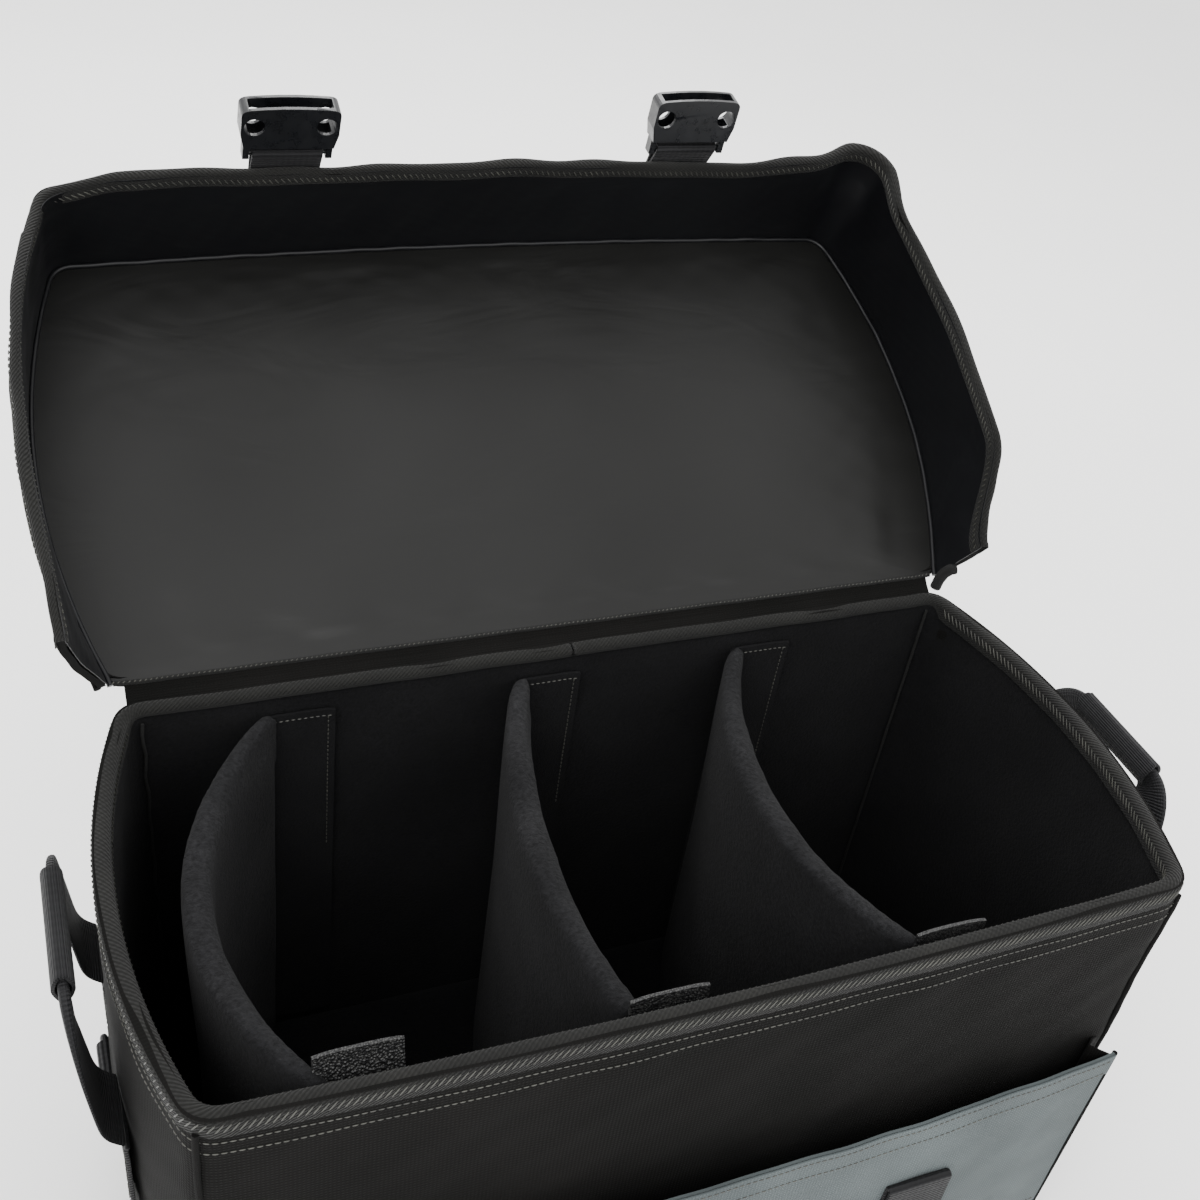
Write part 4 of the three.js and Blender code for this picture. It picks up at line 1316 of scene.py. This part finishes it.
roll_normals = np.tile(swung_normals([[0, 0, -1]])[0], (300, 1))
lid_hinge_stitches = seam("lid_hinge_stitches", swung_points(roll_top), roll_normals,
                          pitch=2.6, slant=math.radians(40), length=1.6, radius=0.3)
finish_piece(lid_hinge_stitches, "lid", thread)
horn_line = [(LENGTH / 2 + 1, DEPTH / 2 + 1.5, HEIGHT - 1), (LENGTH / 2 + 2, DEPTH / 2 + 1.5, HEIGHT + 5),
             (LENGTH / 2 + 4, DEPTH / 2 + 1, HEIGHT + 10), (LENGTH / 2 + 7, DEPTH / 2, HEIGHT + 13),
             (LENGTH / 2 + 10, DEPTH / 2 - 0.5, HEIGHT + 13.5)]
horn = piping("tape_end", resample(horn_line, 24), 3.4)
finish_piece(horn, "lid", binding_tape)

# %% [markdown]
# ## The pocket
# The front pocket is one sheet of grey canvas, held away from the wall by black sides folded like bellows.
# It is unpadded, so it puckers along its seams. Its top edge is turned over twice and stitched in two rows.

# %% Pocket front, hem and piping
POCKET_HALF = LENGTH / 2 - 8
POCKET_DEPTH = 12
POCKET_BOW = 4
HEM_WIDTH = 16
pocket_low, pocket_high = (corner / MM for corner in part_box("pocket_front"))


def pocket_face(x):
    return front_y(x) - POCKET_DEPTH - POCKET_BOW * (1 - (x / POCKET_HALF) ** 2)


def pocket_puff(x, share):
    edge = (1 - smooth(0.8, 1, np.abs(x) / POCKET_HALF)) * np.sin(np.pi * np.clip(share, 0, 0.93)) ** 0.6
    pucker = 0.5 * np.sin(x / 5.3) * (1 - smooth(0, 0.08, share))
    pucker = pucker + 0.9 * crumple(x, share * 140, 0, 27, 18.0)
    return 2.2 * edge + pucker * (0.25 + edge)


def pocket_place(proud, low, high):
    def place(u, v):
        x = (2 * u - 1) * POCKET_HALF
        z = low + (high - low) * v
        share = (z - pocket_low.z) / (pocket_high.z - pocket_low.z)
        dip = 1.4 * crumple(x, 0, 0, 60, 19.0) * smooth(0.8, 1, share)
        return x, pocket_face(x) - proud - pocket_puff(x, share), z + dip
    return place


pocket_panel = cut_cloth("pocket_panel", 240, 70, pocket_place(1.1, pocket_low.z, pocket_high.z),
                         (2 * POCKET_HALF, pocket_high.z - pocket_low.z))
apply_modifier(pocket_panel, "SOLIDIFY", thickness=1.5 * MM, offset=0)
close_up(pocket_panel)
finish_piece(pocket_panel, "pocket", pocket_cloth, ("pocket_front",))
hem_place = pocket_place(2.6, pocket_high.z - HEM_WIDTH, pocket_high.z + 0.4)
pocket_hem = cut_cloth("pocket_hem_fold", 240, 12, hem_place, (2 * POCKET_HALF, HEM_WIDTH))
apply_modifier(pocket_hem, "SOLIDIFY", thickness=1.1 * MM, offset=0)
close_up(pocket_hem)
round_edges(pocket_hem, 0.4)
finish_piece(pocket_hem, "pocket", pocket_cloth, ("pocket_hem",))


def pocket_row(z, proud):
    u = np.linspace(0.01, 0.99, 400)
    points = np.column_stack(pocket_place(proud, z, z + 1)(u, np.zeros(400)))
    return points, np.tile([0, -1, 0], (400, 1))


pocket_stitches = joined("pocket_stitches", [
    seam("hem_row_low", *pocket_row(pocket_high.z - 14, 3.25)),
    seam("hem_row_high", *pocket_row(pocket_high.z - 3, 3.25)),
    seam("pocket_foot_row", *pocket_row(pocket_low.z + 5, 1.95)),
])
finish_piece(pocket_stitches, "pocket", thread)
side_z = np.linspace(pocket_high.z - 1, pocket_low.z, 40)
foot_x = np.linspace(-POCKET_HALF, POCKET_HALF, 120)
edge_y = np.full(40, float(pocket_face(POCKET_HALF)) - 1)
piping_line = np.vstack([
    np.column_stack([np.full(40, -POCKET_HALF - 0.6), edge_y, side_z]),
    np.column_stack([foot_x, pocket_face(foot_x) - 1, np.full(120, pocket_low.z - 0.6)])[1:-1],
    np.column_stack([np.full(40, POCKET_HALF + 0.6), edge_y, side_z[::-1]]),
])
pocket_piping = piping("pocket_piping", piping_line, 1.5)
finish_piece(pocket_piping, "pocket", canvas)
print("pocket panel:", len(pocket_panel.data.polygons), "faces")

# %% [markdown]
# ## Bellows
# Each side of the pocket is one black strip, creased inwards down its middle, so that it folds flat.
# It joins the fixed wall to the moving pocket face, and its shape runs between the two.

# %% Pocket gussets and floor
for name, side in (("left", -1), ("right", 1)):
    edge = POCKET_HALF - 2.5
    wall_y = float(front_y(edge)) - 0.2
    face_y = float(pocket_face(edge)) + 0.2
    fold_line = resample([(edge + 1, wall_y), (edge - 5, wall_y - 2.2), (edge - 10, (wall_y + face_y) / 2),
                          (edge - 5, face_y + 2.2), (edge + 1, face_y)], 30)

    def gusset_place(u, v):
        x = np.interp(u, np.linspace(0, 1, 30), fold_line[:, 0])
        y = np.interp(u, np.linspace(0, 1, 30), fold_line[:, 1])
        z = pocket_low.z + 1 + (pocket_high.z - 4 - pocket_low.z) * v + 4 * np.sin(np.pi * u) * v
        crease = 0.7 * crumple(0, y * 2, z, 13, 20.0)
        return side * (x + crease * np.sin(np.pi * u)), y, z

    gusset = cut_cloth(name + "_bellows", 28, 50, gusset_place, (34, 140))
    apply_modifier(gusset, "SOLIDIFY", thickness=0.9 * MM, offset=0)
    close_up(gusset)
    finish_piece(gusset, None, canvas, (name + "_pocket_gusset",))
    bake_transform(gusset)

floor_low, floor_high = (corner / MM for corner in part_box("pocket_floor"))


def pocket_floor_place(u, v):
    x = (2 * u - 1) * (POCKET_HALF - 9)
    near, far = pocket_face(x) + 1.2, front_y(x) - 0.4
    return x, near + (far - near) * v, (floor_low.z + floor_high.z) / 2 - 0.8 * np.sin(np.pi * v)


pocket_floor = cut_cloth("pocket_floor_cloth", 120, 8, pocket_floor_place, (440, 14))
apply_modifier(pocket_floor, "SOLIDIFY", thickness=1.2 * MM, offset=0)
close_up(pocket_floor)
finish_piece(pocket_floor, "bag", canvas, ("pocket_floor",))
print("two bellows and a floor")

# %% [markdown]
# ## Webbing straps
# A strap is a length of flat webbing. It is drawn along a line and given its width across it. At each
# buckle it goes round the bar and back under itself, and a crossed box of stitches holds it to the cloth.

# %% Straps on the lid and on the pocket
WEB = 38
WEB_THICKNESS = 2.0
BAR_LOOP = 2.75
BUCKLE_X = 118
BOX_HEIGHT = 27
strap_y = -137.39  # the middle of the loop round the socket's bar, with the lid shut
socket_z = SKIRT_LOW - 6


def strap(name, line, across, width, count=60, thickness=WEB_THICKNESS):
    """Webbing along a line of points in millimetres, with its width along across."""
    line = resample(line, count)
    across = np.asarray(across, float)

    def place(u, v):
        shares = np.linspace(0, 1, count)
        centre = [np.interp(u, shares, line[:, k]) for k in range(3)]
        return tuple(centre[k] + across[k] * (v - 0.5) * width for k in range(3))
    obj = cut_cloth(name, count - 1, 10, place, (line_length(line), width))
    apply_modifier(obj, "SOLIDIFY", thickness=thickness * MM, offset=0)
    close_up(obj)
    return round_edges(obj, 0.5)


def arc(centre, radius, start, stop, count=16):
    """Points (first, second) on part of a circle, angles in degrees."""
    angle = np.radians(np.linspace(start, stop, count))
    return np.column_stack([centre[0] + radius * np.cos(angle), centre[1] + radius * np.sin(angle)])


for name, x in (("left", -BUCKLE_X), ("right", BUCKLE_X)):
    section = np.vstack([[(strap_y - 1.2, socket_z + 56), (strap_y - 1.7, socket_z + 20)],
                         arc((strap_y, socket_z), BAR_LOOP, 180, 360), [(strap_y + 1.2, socket_z + 12)]])
    strap_line = swung_points(np.column_stack([np.full(len(section), x), section]))
    lid_strap = strap(name + "_lid_webbing", strap_line, (1, 0, 0), WEB)
    finish_piece(lid_strap, "lid", webbing, (name + "_lid_strap",), 40)
    outward_now = swung_normals([[0, -1, 0]])[0]
    corner = swung_points([[x - WEB / 2, strap_y - 2.6, socket_z + BOX_HEIGHT]])[0]
    upward_now = swung_normals([[0, 0, BOX_HEIGHT]])[0]
    strap_box = stitched_box(name + "_lid_webbing_stitches", corner, (WEB, 0, 0), upward_now, outward_now)
    finish_piece(strap_box, "lid", thread)

    patch_low, patch_high = (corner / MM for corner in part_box(name + "_strap_patch"))
    patch_y = patch_low.y + 0.6
    fold_z = patch_high.z
    fold_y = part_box(name + "_front_strap")[0].y / MM + BAR_LOOP + 0.95
    bar_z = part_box(name + "_front_strap")[0].z / MM + BAR_LOOP + 0.95
    patch = strap(name + "_strap_patch_webbing", [(x, patch_y, patch_low.z), (x, patch_y, fold_z - 3)],
                  (1, 0, 0), WEB, 30)
    finish_piece(patch, "pocket", webbing, (name + "_strap_patch",), 40)
    patch_box = stitched_box(name + "_patch_stitches", (x - WEB / 2, patch_y - 1.1, patch_low.z + 2),
                             (WEB, 0, 0), (0, 0, BOX_HEIGHT), (0, -1, 0))
    finish_piece(patch_box, "pocket", thread)
    bend = strap(name + "_strap_bend", np.column_stack([np.full(18, x), np.vstack([
        [(patch_y, fold_z - 4)], arc(((patch_y + fold_y) / 2, fold_z), abs(patch_y - fold_y) / 2, 0, 180),
        [(fold_y, fold_z - 6)]])]), (1, 0, 0), WEB, 30)
    finish_piece(bend, None, webbing, smooth_angle=40)
    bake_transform(bend)
    section = np.vstack([[(fold_y, fold_z - 5), (fold_y - 0.6, bar_z + 10)],
                         arc((fold_y, bar_z), BAR_LOOP, 180, 360), [(fold_y + 1.2, bar_z + 14)]])
    front_strap = strap(name + "_front_webbing", np.column_stack([np.full(len(section), x), section]),
                        (1, 0, 0), WEB)
    finish_piece(front_strap, name + "_strap", webbing, (name + "_front_strap",), 40)
print("four straps")

# %% [markdown]
# ## End handles
# Each handle is one length of webbing, sewn flat to the end panel and folded lengthwise into a grip.
# A second piece of webbing is wrapped round the grip as a sleeve, open at both ends.
# The loop's section changes along its length from a flat band to a narrow fold, so it is lofted.
# The line starts just clear of the end panel, so that it doesn't cut into it when the handle swings out.

# %% Handles
HANDLE_PATH = np.array([
    # out, along the end, up, width, thickness
    (1.5, -45.0, 1.2, 38, 2.0), (6.5, -45.0, 4.5, 38, 2.2), (9.8, -45.0, 11.0, 38, 2.2),
    (12.5, -45.0, 32.0, 37, 2.3), (14.8, -44.2, 50.0, 33, 3.0), (16.2, -41.5, 62.0, 26, 4.2),
    (17.0, -36.0, 71.0, 19, 5.4),
    (17.2, -28.0, 74.6, 10.5, 4.6), (17.2, -14.0, 75.2, 10, 4.6), (17.2, 0.0, 75.2, 10, 4.6),
])
HANDLE_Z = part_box("left_handle_front_end")[1].z / MM + 3
HANDLE_X = float(end_x(45.0)) + 3.2
GRIP_HALF = 32
GRIP_OUT, GRIP_UP = HANDLE_PATH[-1, 0], HANDLE_PATH[-1, 2]
handle_path = np.vstack([HANDLE_PATH, (HANDLE_PATH * [1, -1, 1, 1, 1])[-2::-1]])
handle_path = resample(handle_path, 90)
for _ in range(6):
    handle_path[1:-1] = (handle_path[:-2] + 2 * handle_path[1:-1] + handle_path[2:]) / 4


def hang(points, side, lift):
    """From the handle's own axes to its end of the bag, turned outwards by a lift."""
    out, along_end, up_way = points
    turned = out * math.cos(lift) + up_way * math.sin(lift)
    raised_to = -out * math.sin(lift) + up_way * math.cos(lift)
    return side * (HANDLE_X + turned), along_end, HANDLE_Z + raised_to


def loft_handle(u, v):
    shares = np.linspace(0, 1, len(handle_path))
    out, along_end, up_way, width, thickness = (np.interp(u, shares, handle_path[:, k]) for k in range(5))
    slope = np.gradient(handle_path[:, :3], axis=0)
    slope /= np.linalg.norm(slope, axis=1)[:, None]
    ty, tz = (np.interp(u, shares, slope[:, k]) for k in (1, 2))
    norm = np.hypot(ty, tz)
    across_y, across_z = -tz / norm, ty / norm
    angle = v * math.tau
    flat = np.sign(np.cos(angle)) * np.abs(np.cos(angle)) ** 0.55 * width / 2
    deep = np.sign(np.sin(angle)) * np.abs(np.sin(angle)) ** 0.55 * thickness / 2
    return out + deep, along_end + across_y * flat, up_way + across_z * flat


def sleeve_place(u, v):
    angle = u * math.tau
    fold = 1 - 0.12 * np.exp(-((u - 0.25) / 0.03) ** 2)
    out = GRIP_OUT + np.cos(angle) * 4.2 * fold
    up_way = GRIP_UP + np.sin(angle) * 7.2 * fold
    along_end = (2 * v - 1) * GRIP_HALF + 0.6 * np.sin(3 * angle) * (2 * v - 1)
    return out, along_end, up_way


for name, side, lift in (("left", -1, 0.0), ("right", 1, math.radians(14))):
    def band_place(u, v):
        return hang(loft_handle(u, v), side, lift)

    def hung_sleeve(u, v):
        return hang(sleeve_place(u, v), side, lift)

    band = cut_cloth(name + "_handle_band", 120, 24, band_place, (270, 78))
    close_up(band)
    finish_piece(band, name + "_grip", webbing, (name + "_handle",), 70)
    sleeve = close_up(cut_cloth(name + "_grip_sleeve", 40, 30, hung_sleeve, (2 * GRIP_HALF, 44)))
    apply_modifier(sleeve, "SOLIDIFY", thickness=1.7 * MM, offset=0)
    round_edges(sleeve, 0.4)
    finish_piece(sleeve, name + "_grip", webbing, smooth_angle=50)
    y = np.linspace(-GRIP_HALF + 4, GRIP_HALF - 4, 60)
    rows = []
    for out_side in (1, -1):
        row = (np.full(60, GRIP_OUT + out_side * 4.1), y, np.full(60, 71.0))
        line = np.column_stack(hang(row, side, lift))
        rows.append(seam("grip_row", line, np.tile([side * out_side, 0, -0.5], (60, 1)), pitch=3.2))
    grip_stitches = joined(name + "_grip_stitches", rows)
    finish_piece(grip_stitches, name + "_grip", thread)
    for place in ("front", "back"):
        node = f"{name}_handle_{place}_end"
        low, high = (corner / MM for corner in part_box(node))
        y = (low.y + high.y) / 2
        inner = min(abs(low.x), abs(high.x)) + 1.1
        line = [(side * inner, y, low.z), (side * inner, y, high.z - 8), (side * (inner + 0.5), y, high.z),
                (side * (HANDLE_X - 0.4), y, high.z + 2)]
        end_patch = strap(node + "_webbing", line, (0, 1, 0), WEB, 40)
        finish_piece(end_patch, "bag", webbing, (node,), 40)
        end_box = stitched_box(node + "_stitches", (side * (inner + 1.15), low.y, low.z + 4),
                               (0, WEB, 0), (0, 0, 34), (side, 0, 0))
        finish_piece(end_box, "bag", thread)
print("two handles")

# %% [markdown]
# ## Ring tabs, rings and buckles
# A tab of webbing at each end holds a moulded ring. The rings and the four buckle halves keep their packed
# shape, since a moulded part is what it was drawn to be. They get the small radius that a mould leaves
# on every edge, which catches the light.

# %% Rings and buckles
RING_WEB = WEB - 4
for name, side in (("left", -1), ("right", 1)):
    low, high = (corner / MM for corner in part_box(name + "_ring_tab"))
    ring_x = float(end_x(0.0)) + 4.5
    ring_z = high.z - 4.2
    section = np.vstack([[(ring_x - 3.25, low.z), (ring_x - 3.25, ring_z - 2)],
                         arc((ring_x, ring_z), 3.2, 180, -80, 24)])
    line = np.column_stack([side * section[:, 0], np.zeros(len(section)), section[:, 1]])
    tab = strap(name + "_ring_webbing", line, (0, 1, 0), RING_WEB, 60, 1.8)
    finish_piece(tab, "bag", webbing, (name + "_ring_tab",), 40)
    tab_corner = (side * (ring_x - 2.2), -RING_WEB / 2, low.z + 2)
    tab_box = stitched_box(name + "_ring_webbing_stitches", tab_corner,
                           (0, RING_WEB, 0), (0, 0, 30), (side, 0, 0))
    finish_piece(tab_box, "bag", thread)

MOULDED = ["left_buckle_socket", "right_buckle_socket", "left_buckle_plug", "right_buckle_plug",
           "left_strap_ring", "right_strap_ring"]
for node in MOULDED:
    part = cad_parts[node]
    part.data.materials.clear()
    part.data.materials.append(acetal)
    weld = part.modifiers.new("Weld", "WELD")
    weld.merge_threshold = 0.02 * MM
    soft_edge = part.modifiers.new("Mould radius", "BEVEL")
    soft_edge.width = 0.7 * MM
    soft_edge.segments = 3
    soft_edge.limit_method = "ANGLE"
    soft_edge.angle_limit = math.radians(38)
print("moulded parts:", len(MOULDED))
